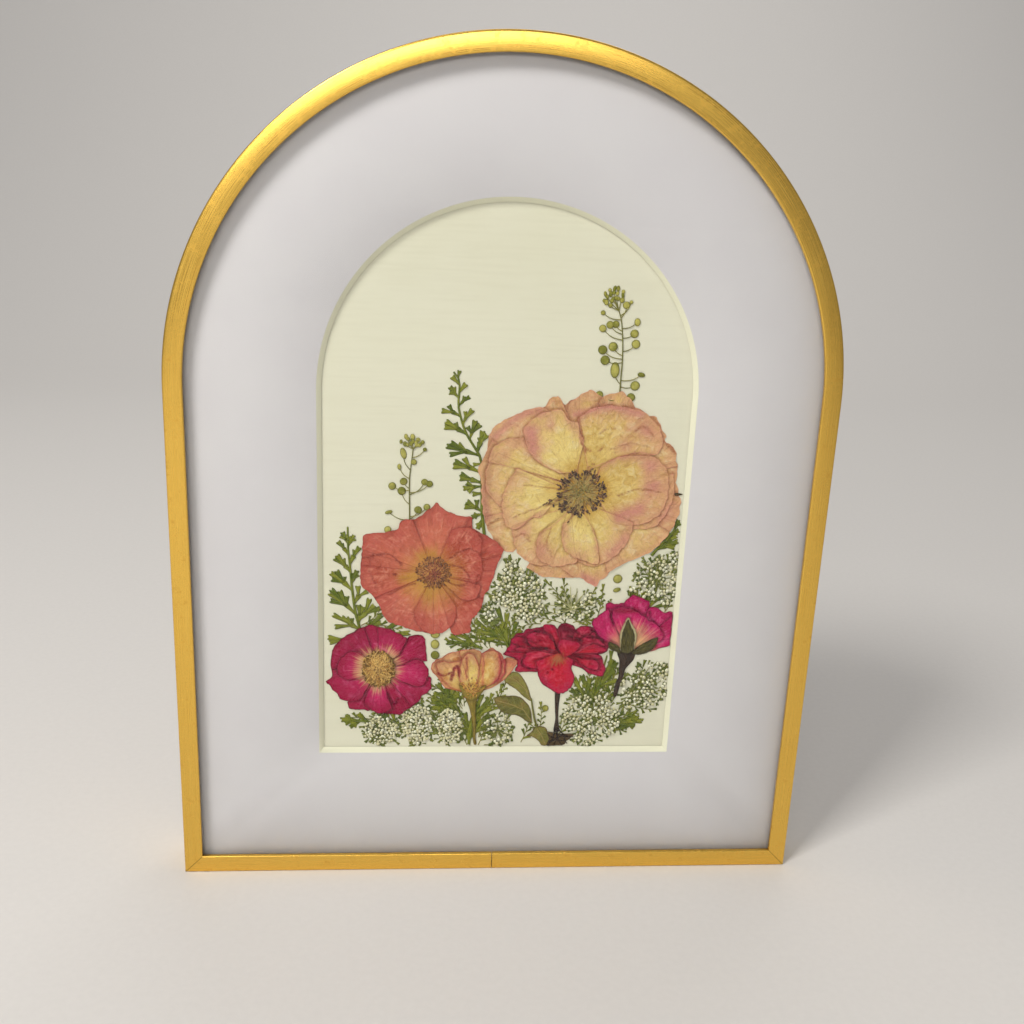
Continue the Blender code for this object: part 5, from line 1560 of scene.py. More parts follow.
def petal(flower, root, rim, tone=0.5, marks=(), blotches=(), fine=0.62, wave=0.24, curl=0.17, ripple=0.07):
    """Lays a petal: a pleated fan from root to rim, rim lifted, blotches, dark lines, painted highlights and shade."""
    seed = flower.seed * 100 + len(flower.parts)
    root = np.array(root, float)
    length = np.linalg.norm(np.diff(smooth_line(rim, 30), axis=0), axis=1).sum()
    columns = max(24, int(length / fine))
    line = smooth_line(rim, columns + 1)
    long = np.linalg.norm(line - root, axis=1)
    rows = max(14, int(long.mean() / fine / 1.15))
    run = np.linspace(0, length, columns + 1)
    calm = np.sin(np.linspace(0, math.pi, columns + 1)) ** 0.3
    frayed = waves(seed, [run], [5.0]) + 0.45 * waves(seed + 3, [run], [1.6])
    frayed = frayed - 2.4 * np.clip(waves(seed + 7, [run], [2.8]) - 0.8, 0, 1)
    line = line + (line - root) / long[:, None] * (wave * frayed * calm)[:, None]
    v = 0.05 + 0.95 * (1 - (1 - np.linspace(0, 1, rows + 1)) ** 1.35)[:, None]
    x = root[0] + (line[:, 0] - root[0]) * v
    z = root[1] + (line[:, 1] - root[1]) * v
    edge = gap_to_line(x, z, [root, *line, root])
    to_rim = long * (1 - v)
    run = run + 0 * v
    pleats = 0.5 + 0.5 * waves(seed + 1, [run, v * long], [3.6, 30.0])
    puckers = waves(seed + 4, [x, z], [3.0, 3.0]) * np.clip(v * 1.6 - 0.6, 0, 1)
    lifted = np.exp(-to_rim / 0.9) * (0.55 + 0.45 * waves(seed + 2, [run], [7.0]))
    mark = marks_at(x, z, marks)
    relief = ripple * v**1.2 * pleats + 0.05 * puckers + curl * lifted + 0.08 * np.maximum(mark, 0)
    ghost = np.full(x.shape, FAR_GHOST)
    for outline in flower.outlines[-3:]:
        gap = gap_to_line(x, z, outline)
        gap = np.where(inside_outline(x, z, outline), gap, -gap)
        ghost = np.where(abs(gap) < abs(ghost), gap, ghost)
    flower.outlines.append(np.array([root, *line, root]))
    grid = np.arange(x.size).reshape(x.shape)
    quads = np.stack([grid[:-1, :-1], grid[:-1, 1:], grid[1:, 1:], grid[1:, :-1]], -1).reshape(-1, 4)
    border = [*grid[0], *grid[1:, -1], *grid[-1, -2::-1], *grid[-2:0:-1, 0]]
    values = {
        "edge": edge.ravel(),
        "reach": (v + 0 * x).ravel(),
        "tone": tone,
        "mark": mark.ravel(),
        "blotch": np.clip(marks_at(x, z, blotches), 0, 1).ravel(),
        "ghost": ghost.ravel(),
    }
    flat = np.stack([run.ravel() + 100.0 * len(flower.parts), (v * long).ravel()], -1)
    flower.lay(x.ravel(), z.ravel(), relief.ravel(), quads.tolist(), [int(i) for i in border], values, flat)


def heart_disc(flower, heart, radius):
    """The receptacle under the petals of an open rose."""
    ring = [(heart[0] + x, heart[1] + z) for x, z in around(14, radius)]
    blade(flower, ring, [heart, ring[0]], tone=0.5, spacing=0.8, bulge=0.02, count=44)


print("petals ready")

# %% The look of a petal


def petal_look(
    name, heart, glow_size, glow, low, high, outer, vein, rim, dark, blotch, light,
    band=(0.5, 1.0), sheen=0.4, line=0.32, folds=0.2, depth=0.45,
):  # fmt: skip
    """A dried petal: golden near the heart, clouds of colour, fine veins, a thin dark rim, painted sheen and shade."""
    look = Finish(name)
    middle = {0: look.place(1.0), 1: (heart[0], CARD_Y, heart[1])}
    away = look.node("ShaderNodeVectorMath", {"operation": "DISTANCE"}, middle, out="Value")
    patches = look.noise(look.place(0.16), 4.0, 0.6)
    clouds = look.noise(look.place(0.4), 5.0, 0.65, 1.0)
    crinkle = look.noise(look.place(1.3), 5.0, 0.7, 0.6)
    strands = look.noise(look.flat(1.3, 0.07), 3.0, 0.6)
    hairs = look.noise(look.flat(4.0, 0.16), 2.0, 0.6)
    fold = look.noise(look.flat(0.16, 0.045), 1.5, 0.5, 0.8)
    crack = look.noise(look.place(0.13), 2.0, 0.55, 1.2)
    creases = look.ease(abs(fold - 0.5), 0.002, 0.016, 1.0, 0.0)
    cracks = look.ease(abs(crack - 0.5), 0.001, 0.009, 1.0, 0.0) * look.ease(look.value("reach"), 0.35, 0.75)
    reach, edge, ghost, mark = (look.value(key) for key in ("reach", "edge", "ghost", "mark"))
    body = look.mix(look.ease(patches * 0.9 + look.value("tone") * 0.7 + clouds * 0.45, 0.65, 1.35), low, high)
    fringe = look.ease(reach + (patches - 0.5) * 1.1 + (clouds - 0.5) * 0.9, *band)
    body = look.mix(fringe * 0.8, body, outer)
    # Painted sheen: the pale light colour laid on the raised clouds in the middle of each petal.
    inner = look.ease(edge, 0.2, 2.4) * look.ease(reach, 0.2, 0.5)
    body = look.mix(look.ease(clouds + (strands - 0.5) * 0.4, 0.48, 0.68) * inner * sheen, body, light)
    body = look.mix(look.ease(clouds, 0.3, 0.48, 1.0, 0.0) * 0.3, body, dark)
    body = look.mix(look.ease(strands, 0.46, 0.66) * 0.14, body, vein)
    body = look.mix(look.ease(hairs, 0.5, 0.7) * 0.12, body, vein)
    body = look.mix(look.ease(crinkle, 0.5, 0.75) * 0.26, body, dark)
    body = look.mix(look.value("blotch") * look.ease(crinkle, 0.2, 0.55, 0.45, 0.95), body, blotch)
    near = look.ease(away + patches * 6.0 - 3.0 + (0.5 - strands) * 10.0, glow_size[0], glow_size[1], 1.0, 0.0)
    body = look.mix(near * 0.9, body, glow)
    # Painted shade: darker where this petal lies over the ones laid before it, and along their edges beneath it.
    overlap_shade = look.ease(ghost, -0.1, 0.4) * look.ease(ghost, FAR_GHOST - 1.0, FAR_GHOST, 1.0, 0.0)
    body = look.mix(overlap_shade * 0.12, body, dark)
    body = look.mix(look.ease(abs(ghost), 0.04, 0.3, 1.0, 0.0) * 0.3, body, dark)
    # Painted shade along the crease and crack lines that the bump sinks.
    body = look.mix((creases * 0.16).most(cracks * 0.14), body, dark)
    # Marks: positive ones are painted highlights on folds; negative ones are painted shade along creases, and some
    # are real dark lines and spots.
    broken = look.ease(crinkle, 0.34, 0.58, 0.3, 1.0)
    body = look.mix(look.ease(mark, 0.05, 0.9) * 0.6 * broken, body, light)
    strong = broken.most(look.ease(mark * -1.0, 0.9, 1.2))
    body = look.mix(look.ease(mark * -1.0, 0.05, 0.8) * 0.85 * strong, body, dark)
    border = look.ease(edge, line * 0.2, line, 1.0, 0.0) * 0.85
    body = look.mix(border * look.ease(clouds, 0.36, 0.6, 0.4, 1.0), body, rim)
    body = look.mix(look.value("shade") * depth, body, dark)
    relief = strands * 0.3 + hairs * 0.1 + crinkle * 0.5 + clouds * 1.6 - creases * 0.12 - cracks * 0.08
    bumped = look.bump(relief, folds)
    return look.done(look.surface(base_color=body, roughness=0.7, specular_ior_level=0.12, normal=bumped))


print("petal finish ready")

# %% [markdown]
# ## Stems
#
# The three roses pressed from the side keep their stems. A pressed stem is flat and a little woody, so it is a blade
# with streaks along its length.

# %% Woody stems


def woody(name, low, high, dark, streak=(0.35, 2.6)):
    """A dried stem or sepal, streaked along its length."""
    look = Finish(name)
    streaks = look.noise(look.flat(*streak), 4.0, 0.65)
    fine = look.noise(look.place(2.6), 4.0, 0.7)
    body = look.mix(look.ease(streaks + (look.value("tone") - 0.5) * 0.5, 0.3, 0.72), low, high)
    body = look.mix(look.ease(fine, 0.55, 0.78) * 0.5, body, dark)
    body = look.mix(look.ease(look.value("edge"), 0.0, 0.45, 0.6, 0.0), body, dark)
    body = look.mix(look.value("shade") * 0.5, body, dark)
    relief = streaks + fine * 0.5
    bumped = look.bump(relief, 0.1)
    return look.done(look.surface(base_color=body, roughness=0.7, specular_ior_level=0.2, normal=bumped))


tan_look = woody("tan_stem", ink(110, 94, 30), ink(152, 130, 52), ink(80, 58, 22))
dark_look = woody("dark_stem", ink(36, 26, 22), ink(72, 52, 38), ink(26, 18, 16))
bark_look = woody("woody_foot", ink(70, 52, 32), ink(118, 94, 60), ink(44, 32, 22))
sepal_look = woody("sepal", ink(48, 44, 18), ink(112, 100, 46), ink(34, 26, 14))
heart_look = woody("gold_heart", ink(104, 74, 34), ink(178, 136, 66), ink(62, 40, 22))
ruddy_look = woody("ruddy_heart", ink(98, 50, 38), ink(150, 84, 56), ink(60, 30, 24))
cream_look = woody("sepal_margin", ink(176, 162, 112), ink(214, 204, 160), ink(112, 84, 52))

apricot_stem = Sheets("apricot_rose_stem", 5)
blade(
    apricot_stem, [(-11.6, 66.8), (-10.8, 64.6), (-9.9, 62.2), (-9.3, 60.2), (-8.6, 56.7), (-8.2, 53.8), (-8, 49.7),
    (-7.5, 47.2), (-6.6, 47.6), (-7, 49.9), (-7.1, 56.7), (-7.4, 60.2), (-7.3, 63.4), (-6.6, 66.6)],
    [(-9, 67), (-8.4, 61), (-7.7, 54), (-7.2, 47.2)], spacing=0.45, bulge=0.3, count=110, rough=0.04,
)  # fmt: skip
red_stem = Sheets("red_rose_stem", 6)
blade(
    red_stem, [(20.2, 69), (20.4, 62), (20.8, 57), (20.4, 52.6), (22.4, 52.6), (21.8, 57), (21.8, 62), (22, 69)],
    [(21.1, 69), (21.2, 60), (21.4, 52.6)], spacing=0.45, bulge=0.3, count=90, rough=0.03,
)  # fmt: skip
red_foot = Sheets("red_rose_stem_foot", 7)
blade(
    red_foot, [(18.2, 52.3), (22.6, 51.4), (25.5, 51.5), (27.6, 51.4), (27, 50.1), (25.1, 48.3), (24, 46.9),
    (18.3, 46.9), (18.9, 49.4)], [(22, 52.4), (21.4, 46.9)], spacing=0.5, bulge=0.22, rough=0.14,
)  # fmt: skip
print("stems ready")

# %% [markdown]
# ## The peach rose
#
# The largest rose lies face on. Twelve broad petals make the outer ring, three more lie on them, and eight smaller
# ones fold inwards, with dusty pink blotches. Back petals are laid first.

# %% Peach rose
DUSTY = [
    ([(7.4, 160), (8.6, 154.5)], 2.8, 0.95), ([(38.5, 132), (45, 134.5)], 3.2, 0.95), ([(48.8, 142.3)], 3.6, 0.9),
    ([(39.5, 161.5)], 1.6, 0.5), ([(7, 125.7)], 2.4, 0.6), ([(36.5, 118.5), (41, 124)], 1.8, 0.6),
    ([(53.4, 131.6), (56, 136)], 2.4, 0.6), ([(-4, 158), (3, 165), (10, 167)], 1.6, 0.75),
    ([(28, 110), (31.5, 107.6)], 2, 0.85), ([(-6, 131), (-7.6, 141)], 1.6, 0.6), ([(13.6, 162)], 1.8, 0.5),
    ([(47.7, 149.2)], 3, 0.8), ([(38.7, 156)], 3.6, 0.7), ([(45.6, 161.3)], 3, 0.8), ([(13, 120)], 3, 0.7),
    ([(22, 166), (31, 168.8), (38, 168), (43, 166.6)], 1.3, 0.9),
]  # fmt: skip
# Painted light on the folds: positive strokes are painted highlights, negative ones painted shade in creases.
PEACH_FOLD_HIGHLIGHTS_AND_SHADE = [
    ([(23.5, 161.1), (24.4, 156.4), (28.3, 153.6), (31.3, 155.3)], 0.4, -0.8), ([(25, 155), (29, 148.8)], 0.35, -0.8),
    ([(26.8, 152.6), (29.6, 150.8)], 1.1, 0.5), ([(37.2, 139), (44, 141.4), (52, 140.5)], 0.4, -0.8),
    ([(33.6, 154.6), (40, 156.8), (46, 156)], 0.5, -0.5), ([(34, 160), (40, 160.6)], 0.7, 0.5),
    ([(3, 131), (9, 133.6), (16, 136)], 0.4, -0.6), ([(-4, 146), (4, 149), (14, 148)], 0.5, 0.5),
    ([(43, 127.2), (50, 126.6), (55, 129.6)], 0.5, 0.5), ([(3.4, 124), (6.4, 125.4), (9, 122.6)], 0.4, -0.7),
    ([(15.6, 127), (14.4, 122), (16.6, 117.6)], 0.4, -0.6), ([(47, 166), (52, 160.6)], 0.5, -0.7),
    ([(20, 143), (8.5, 146.5)], 0.35, -0.7), ([(19, 141), (6, 142.2)], 0.35, -0.6),
    ([(20, 145), (10, 151.5)], 0.4, 0.6), ([(52, 158), (55.6, 154.2)], 0.9, -0.8),
    ([(-5.7, 128), (-1.7, 130.9)], 0.4, -0.8), ([(-5, 126), (2, 122.5)], 0.4, 0.6),
    ([(30, 160), (32, 161.5), (35, 161.8)], 0.45, -0.6), ([(24.8, 158), (22.6, 165.2)], 0.4, -0.9),
    ([(41.5, 161), (44, 162.8), (46.5, 161), (47.5, 159.5)], 0.5, -0.65),
    ([(24, 165.4), (31, 168.2), (38, 167.6), (44, 166.2)], 0.5, 0.35),
]  # fmt: skip
PEACH_OUTER = [
    ((24, 142), [(13.5, 170.4), (16.6, 170.2), (18.6, 169.4), (20.4, 170.9), (22.6, 172.2)], 0.4),
    ((25, 141), [(18.5, 165.5), (19.7, 170), (22.4, 172.1), (25.1, 173.8), (26.1, 174.3), (28, 173.3), (30.2, 172.1),
        (31, 169)], 0.45),
    ((27, 142), [(28, 168), (30.2, 172.1), (32.1, 173), (35.5, 173.8), (36.9, 173.7), (39, 172.1), (40.9, 169.3),
        (43, 166)], 0.5),
    ((24, 142), [(8.5, 167), (11.3, 168.1), (12.8, 170.8), (15, 172), (16.8, 170.8), (18, 168.2), (19.7, 164.6),
        (20.5, 160)], 0.35),
    ((22, 143), [(-8, 150.2), (-6.5, 153.9), (-6.2, 158.1), (-4.1, 161.8), (0.2, 164.5), (3.9, 166.3), (7.8, 167.9),
        (11.3, 168.1), (14, 166)], 0.7),
    ((21, 141), [(-5.9, 128), (-7, 131.7), (-7.8, 137), (-8.3, 143.9), (-9.4, 147), (-8, 150.2), (-6.5, 153.9),
        (-5, 157)], 0.5),
    ((22, 138), [(3.3, 118.8), (0.2, 119.3), (-2.7, 122.5), (-5.1, 126.2), (-5.9, 128), (-6.4, 131)], 0.55),
    ((22, 134), [(8, 113.5), (11.3, 111.6), (13.9, 110.3), (17.6, 110), (21, 110), (24.5, 110), (26, 112)], 0.4),
    ((27, 137), [(19.5, 113.6), (24.5, 110.3), (26.8, 109.8), (28.7, 108.5), (30.3, 107.7), (32.1, 107.1),
        (33.5, 109), (35.6, 110.8), (37.2, 113.2), (39.8, 114.5), (40.9, 115.9)], 0.45),
    ((30, 138), [(35.6, 112), (39.8, 114.5), (44, 116.6), (47.7, 118.2), (50.4, 120.1), (54.1, 124), (56.7, 128.5),
        (58, 131.7)], 0.6),
    ((31, 141), [(56, 127), (58, 131.7), (58.6, 133.8), (58.8, 137.5), (57.5, 141.2), (56.7, 145.5), (56.8, 149.7),
        (55.9, 151.3)], 0.3),
    ((29, 143), [(56.8, 149.7), (55.9, 151.3), (55.9, 154.2), (54.1, 156.6), (51.7, 158.1), (52.2, 159.8),
        (50.6, 161.3), (49.8, 163.7), (48.3, 165.8), (46.1, 166.2), (44, 167.8), (41, 169)], 0.4),
    ((21, 142), [(-1.8, 134.8), (-4, 137.2), (-6.2, 140.2), (-6.8, 144.5), (-6, 149), (-3, 153)], 0.65),
    ((22, 143), [(-6, 150), (-5, 154), (-1, 157.2), (5, 158)], 0.6),
    ((30, 140), [(43.5, 127.5), (49.8, 128.3), (53.5, 132.2), (55.5, 136.5), (56.2, 141), (55.5, 147)], 0.3),
]  # fmt: skip
PEACH_INNER = [
    ((27, 148), [(22.5, 164.8), (26, 167.5), (31, 169.3), (38, 168.9), (44, 167.4), (48.5, 163.5), (51, 158.5),
        (49.5, 153.5), (43.5, 154), (36, 152)], 0.35),
    ((23, 147), [(17.6, 146.5), (11.8, 149.2), (8.1, 152.3), (5.8, 157), (5.4, 161.3), (8, 164.5), (12, 166.8),
        (17, 167.5), (19.5, 164.3), (22.5, 163.4), (23.5, 160), (25, 157.6)], 0.75),
    ((29, 141), [(31, 149), (36, 152), (43, 153), (49, 152.3), (52.5, 149), (54, 145), (54, 139), (52.5, 134),
        (48.5, 130.5), (44, 129.1), (38, 129.3), (35.6, 130.5)], 0.35),
    ((27, 136), [(25, 116.2), (29.2, 114.3), (32.5, 114.6), (35.6, 116.4), (38.8, 119), (40.9, 121.7), (42.8, 126),
        (43, 130)], 0.5),
    ((21, 135), [(2.5, 128), (3.4, 123), (4.6, 119.2), (7, 116.4), (10.4, 114.8), (14, 114.3), (17, 115)], 0.7),
    ((22, 134), [(15.5, 127.5), (12, 125.5), (11.2, 121), (11.8, 117.2), (14.5, 115), (18, 114.1), (21.5, 114.6),
        (25, 116.2), (24, 120)], 0.6),
    ((20, 141), [(12, 131), (8.5, 131), (6, 128.2), (2.8, 127), (0.2, 129.1), (-0.8, 133), (-0.9, 138), (0.8, 143),
        (3.5, 148)], 0.8),
    ((25.5, 134), [(19.5, 129), (19.4, 125), (20, 121.5), (22, 118.8), (25, 117.2), (28, 116), (31, 115.2),
        (32.4, 115.3), (32.2, 119), (31.5, 122.5), (30, 127)], 0.9),
]  # fmt: skip
print("marks of the peach rose:", len(DUSTY) + len(PEACH_FOLD_HIGHLIGHTS_AND_SHADE))

# %% Lay the peach rose
peach_outer = Sheets("peach_rose_outer_petals", 11)
peach_inner = Sheets("peach_rose_inner_petals", 12)
heart_disc(peach_outer, (25.0, 140.5), 12.0)
for sheets, table in ((peach_outer, PEACH_OUTER), (peach_inner, PEACH_INNER)):
    for root, rim, tone in table:
        petal(sheets, root, rim, tone, PEACH_FOLD_HIGHLIGHTS_AND_SHADE, DUSTY)
peach_look = petal_look(
    "peach_petal", (25.5, 140.5), (3.0, 14.5), glow=ink(196, 144, 42), low=ink(218, 180, 100),
    high=ink(240, 212, 132), outer=ink(218, 158, 126), vein=ink(196, 146, 88), rim=ink(216, 146, 124),
    dark=ink(158, 94, 64), blotch=ink(206, 132, 122), light=ink(244, 226, 172), band=(0.5, 1.05), sheen=0.5, line=0.24,
    folds=0.34, depth=0.62,
)  # fmt: skip
print("peach rose:", len(PEACH_OUTER), "and", len(PEACH_INNER), "petals")

# %% [markdown]
# ## The coral rose
#
# The coral rose lies over the left edge of the peach one. Its petals are broad and few, with a golden base.

# %% Coral rose
CORAL = [
    ([(-36, 124), (-34.9, 126.3), (-34.5, 128.2), (-33.3, 129.5), (-30.3, 129.9), (-28, 130.8), (-25.8, 132.7),
        (-23.9, 134.2), (-22.4, 135.7), (-21.2, 134.2), (-19, 132.7), (-16.7, 131.8), (-13.7, 131), (-11, 130.9),
        (-10.6, 128.5)], 0.85),
    ([(-11, 130.9), (-10.6, 128.5), (-9.9, 126.6), (-8, 125.7), (-6.1, 124.8), (-3.8, 123.4), (-1.5, 121.7),
        (0, 119.5), (-0.4, 117.6), (-1.5, 115.3), (-2.3, 112.3)], 0.1),
    ([(-0.4, 117.6), (-1.5, 115.3), (-2.3, 112.3), (-3.2, 109.2), (-4.2, 105.8), (-5.5, 103.9), (-6.1, 101.7),
        (-6.8, 99)], 0.3),
    ([(-6.1, 101.7), (-6.8, 99), (-8, 96.7), (-9.5, 94.8), (-10.1, 93), (-10.1, 90.1), (-12.5, 89.5), (-15.2, 88.8),
        (-16.7, 89.9)], 0.35),
    ([(-42.6, 102), (-41.3, 99.8), (-40, 96.7), (-38.6, 94.5), (-37.5, 93), (-34.9, 92.6), (-31.1, 90.9),
        (-27.3, 89.9), (-22.7, 89.2)], 0.75),
    ([(-29.5, 97), (-28, 92.5), (-24, 89.4), (-20, 89.7), (-17, 91.5), (-15.4, 94.5), (-15, 99)], 0.85),
    ([(-42.6, 102), (-43.9, 103.7), (-46.2, 105.4), (-47.3, 107.7), (-47.3, 110.7), (-47.2, 113.8), (-46.6, 119.1)],
        0.4),
    ([(-47.2, 113.8), (-46.6, 119.1), (-46.6, 123.2), (-44.7, 124.6), (-40.5, 124.9), (-37.5, 125.9), (-34.9, 126.3),
        (-34.5, 128.2), (-33.3, 129.5), (-30.3, 129.9)], 0.65),
    ([(-17.1, 107.7), (-13.7, 106.6), (-8.4, 108.1), (-6.8, 111.5), (-7.2, 117), (-7.6, 117.6), (-7.2, 122.9),
        (-9, 125.5), (-12, 127.5), (-17.5, 126.5)], 0.05),
    ([(-17.1, 105.1), (-13.7, 102), (-10.6, 101.7), (-8, 103), (-7, 107)], 0.6),
]  # fmt: skip
CORAL_GOLD = [
    ([(-27, 117), (-23.5, 117.8)], 1.9, 0.8), ([(-33.4, 109.2), (-29, 109.5)], 1.7, 0.85),
    ([(-25, 104.6), (-24, 102)], 1.8, 0.6), ([(-18, 108.5), (-14.6, 107.5)], 1.4, 0.5),
]  # fmt: skip
CORAL_MARKS = [
    ([(-15.6, 94.1), (-9.9, 94.5)], 0.35, 0.8),
    ([(-46.9, 116), (-38.6, 117.6), (-35.6, 115.7), (-33.7, 113.8)], 0.4, -0.8),
    ([(-17.5, 116.5), (-14, 119), (-10, 119.5), (-7.5, 117.5)], 0.4, -0.8), ([(-35.8, 110.3)], 0.5, -1.2),
    ([(-18.1, 114.5), (-13.4, 112.9), (-11.1, 109.8), (-12.4, 107.2), (-16.5, 107.2), (-18.6, 108.7)], 0.35, -0.8),
    ([(-38, 103), (-32.7, 106.1), (-29.1, 107.2)], 0.4, -0.7), ([(-38, 102.5), (-30.1, 97.7)], 0.4, 0.7),
    ([(-35.4, 97.7), (-30.7, 97)], 0.35, 0.8), ([(-43, 118), (-44.4, 112), (-42, 106)], 0.5, -0.5),
    ([(-27.5, 121.4), (-25.2, 126.2)], 0.4, 0.5), ([(-9, 106.4), (-8.2, 110.6)], 0.4, -0.7),
]  # fmt: skip
print("marks of the coral rose:", len(CORAL_GOLD) + len(CORAL_MARKS))

# %% Lay the coral rose
coral = Sheets("coral_rose_petals", 13)
heart_disc(coral, (-23.0, 111.2), 8.0)
for rim, tone in CORAL:
    petal(coral, (-23, 111), rim, tone, CORAL_MARKS, CORAL_GOLD)
coral_look = petal_look(
    "coral_petal", (-23.8, 109.0), (1.5, 14.5), glow=ink(200, 150, 66), low=ink(176, 74, 56), high=ink(208, 110, 86),
    outer=ink(190, 84, 74), vein=ink(220, 142, 104), rim=ink(146, 50, 46), dark=ink(122, 42, 36),
    blotch=ink(178, 124, 46), light=ink(228, 152, 128), sheen=0.5, line=0.28, folds=0.28,
)  # fmt: skip
coral_heart = Sheets("coral_rose_heart", 23)
ring = [(-22.9 + x, 111.2 + z) for x, z in around(14, 3.9)]
blade(coral_heart, ring, [(-22.9, 111.2), (-19, 111.2)], tone=0.3, spacing=0.5, count=50, rough=0.4)
print("coral rose:", len(CORAL), "petals")

# %% [markdown]
# ## The magenta rose
#
# Lower left, face on, the darkest of the roses, with a ring of gold stamens and pale creases.

# %% Magenta rose
MAGENTA = [
    ([(-50, 89.5), (-46, 91.9), (-43.9, 92.3), (-41.6, 91.7), (-40, 90)], 0.4),
    ([(-57, 75.7), (-57.4, 78), (-56.7, 82.6), (-55.9, 83.9), (-55, 86), (-52.7, 88), (-49.9, 89.4), (-47.9, 91),
        (-46, 91.9)], 0.35),
    ([(-51.7, 63.4), (-50.4, 60.9), (-45.6, 60.7), (-44, 60.7), (-43, 62)], 0.5),
    ([(-57, 76), (-57, 73), (-58.9, 71.1), (-57.3, 69.4), (-55.6, 66.9), (-54.1, 65.1), (-52, 64), (-50.1, 63.7),
        (-46.7, 64.9), (-45.4, 67.7)], 0.45),
    ([(-40, 59.5), (-36, 59.2), (-33.5, 59), (-31, 61.1), (-28.7, 62.9), (-29, 66)], 0.15),
    ([(-45.9, 64.6), (-45.8, 63), (-45, 62), (-43, 60.5), (-40, 59.6), (-36, 61)], 0.95),
    ([(-30, 62.5), (-28.7, 62.9), (-26.7, 64.6), (-25.9, 66.3), (-23.9, 67.4), (-23, 69.4), (-23.3, 73), (-26, 73.5)],
        0.5),
    ([(-34.1, 81.4), (-32.1, 85.4), (-31, 88), (-30.1, 88.4), (-28.1, 88.9), (-26.4, 88.6), (-25.6, 87.1),
        (-25.1, 84.6), (-24.5, 79)], 0.35),
    ([(-41.5, 91.7), (-37.3, 90.9), (-33.3, 88.6), (-31.6, 87.7), (-32.3, 85), (-34.1, 81.4)], 0.6),
    ([(-48, 72.3), (-52, 72), (-54.7, 74), (-55.2, 77), (-54, 80), (-51, 82.5), (-47.5, 82.5)], 0.55),
    ([(-32, 78), (-28, 80), (-24.5, 77), (-24, 74), (-25.3, 70.3), (-28.1, 69.4), (-32.7, 71.1)], 0.7),
]  # fmt: skip
MAGENTA_MARKS = [
    ([(-42.4, 85.4), (-38.1, 82.6)], 0.45, 0.9), ([(-34.7, 69.7), (-33.6, 65.4)], 0.45, 0.9),
    ([(-38, 66.5), (-36, 63), (-34, 65)], 0.8, -0.9), ([(-41, 76), (-35.3, 76.9)], 0.9, 1),
]  # fmt: skip
magenta = Sheets("magenta_rose_petals", 14)
heart_disc(magenta, (-41.0, 76.0), 8.0)
for rim, tone in MAGENTA:
    petal(magenta, (-41, 76), rim, tone, MAGENTA_MARKS, fine=0.5)
magenta_look = petal_look(
    "magenta_petal", (-41.0, 76.2), (4.0, 9.6), glow=ink(226, 196, 132), low=ink(152, 6, 52), high=ink(206, 34, 98),
    outer=ink(146, 2, 48), vein=ink(206, 60, 118), rim=ink(70, 0, 22), dark=ink(84, 0, 28), blotch=ink(100, 10, 46),
    light=ink(220, 96, 142), sheen=0.4, line=0.45,
)  # fmt: skip
hearts = Sheets("magenta_rose_heart", 22)
ring = [(-41 + 5.6 * x, 76.2 + 6.6 * z) for x, z in around(16)]
blade(hearts, ring, [(-41, 76.2), (-35.4, 76.2)], tone=0.3, spacing=0.5, count=70, rough=0.5)
print("magenta rose:", len(MAGENTA), "petals")

# %% [markdown]
# ## The red, the apricot and the cerise rose
#
# These were pressed from the side, so their petals stand over a calyx like the leaves of an opening book. The red
# one is laid first, the apricot one over its left petals and the cerise one over its right.

# %% Red rose
RED = [
    ((21, 80), [(15, 86), (17.5, 89.5), (22, 90.5), (26.5, 89.5), (28, 86)], 0.2),
    ((21, 82), [(4, 87.6), (5.5, 89.4), (8, 90), (9.5, 91.3), (12, 91.6), (14.6, 92), (17, 91)], 0.3),
    ((22, 82), [(14.6, 91.5), (15.1, 92.9), (18.2, 92.8), (19.5, 91.6), (21, 90)], 0.75),
    ((22.5, 82), [(19.5, 91), (21.1, 93.4), (24, 93.1), (25.5, 92), (27, 89)], 0.2),
    ((24, 82), [(25.5, 91), (28.4, 92.5), (31, 92.4), (32.8, 91.3), (33.5, 88)], 0.35),
    ((24, 81), [(32.4, 91), (35, 89.1), (37.5, 87.3), (37.9, 85.4), (37.9, 83.6), (35.3, 82), (31, 81.6)], 0.5),
    ((22, 81), [(1.5, 81.8), (2.6, 84), (3.6, 85.4), (4, 87.6), (6.5, 88.6), (9.3, 88), (12.5, 87.5), (16, 86.8),
        (18.5, 86)], 0.5),
    ((22, 81), [(2.2, 83.2), (1.5, 81.8), (3.3, 81.1), (5.5, 80), (6.6, 77.8), (5.5, 75.8), (7.3, 75.1), (9.8, 75.1),
        (12, 75.2), (13.8, 75.2), (16, 76.6)], 0.65),
    ((23, 82), [(24, 78), (28.8, 76.7), (31.3, 74.9), (34.2, 74), (36.1, 73.8), (37.2, 76.3), (36.4, 79.2),
        (35.3, 81.6), (33, 82.2)], 0.4),
    ((20.5, 83), [(12.6, 79.4), (13.5, 76.2), (14.2, 72.7), (15.7, 70.5), (18.2, 68.7), (20.8, 67.2), (22.6, 67),
        (24.8, 68.3), (26.2, 70.5), (26.6, 73.4), (25.5, 76.7), (26.2, 80)], 1),
    ((22.4, 80.4), [(20.2, 84.2), (20.1, 87.1), (22.6, 87.7), (25.6, 87.2), (28, 86), (26.6, 82.8)], 0.6),
]  # fmt: skip
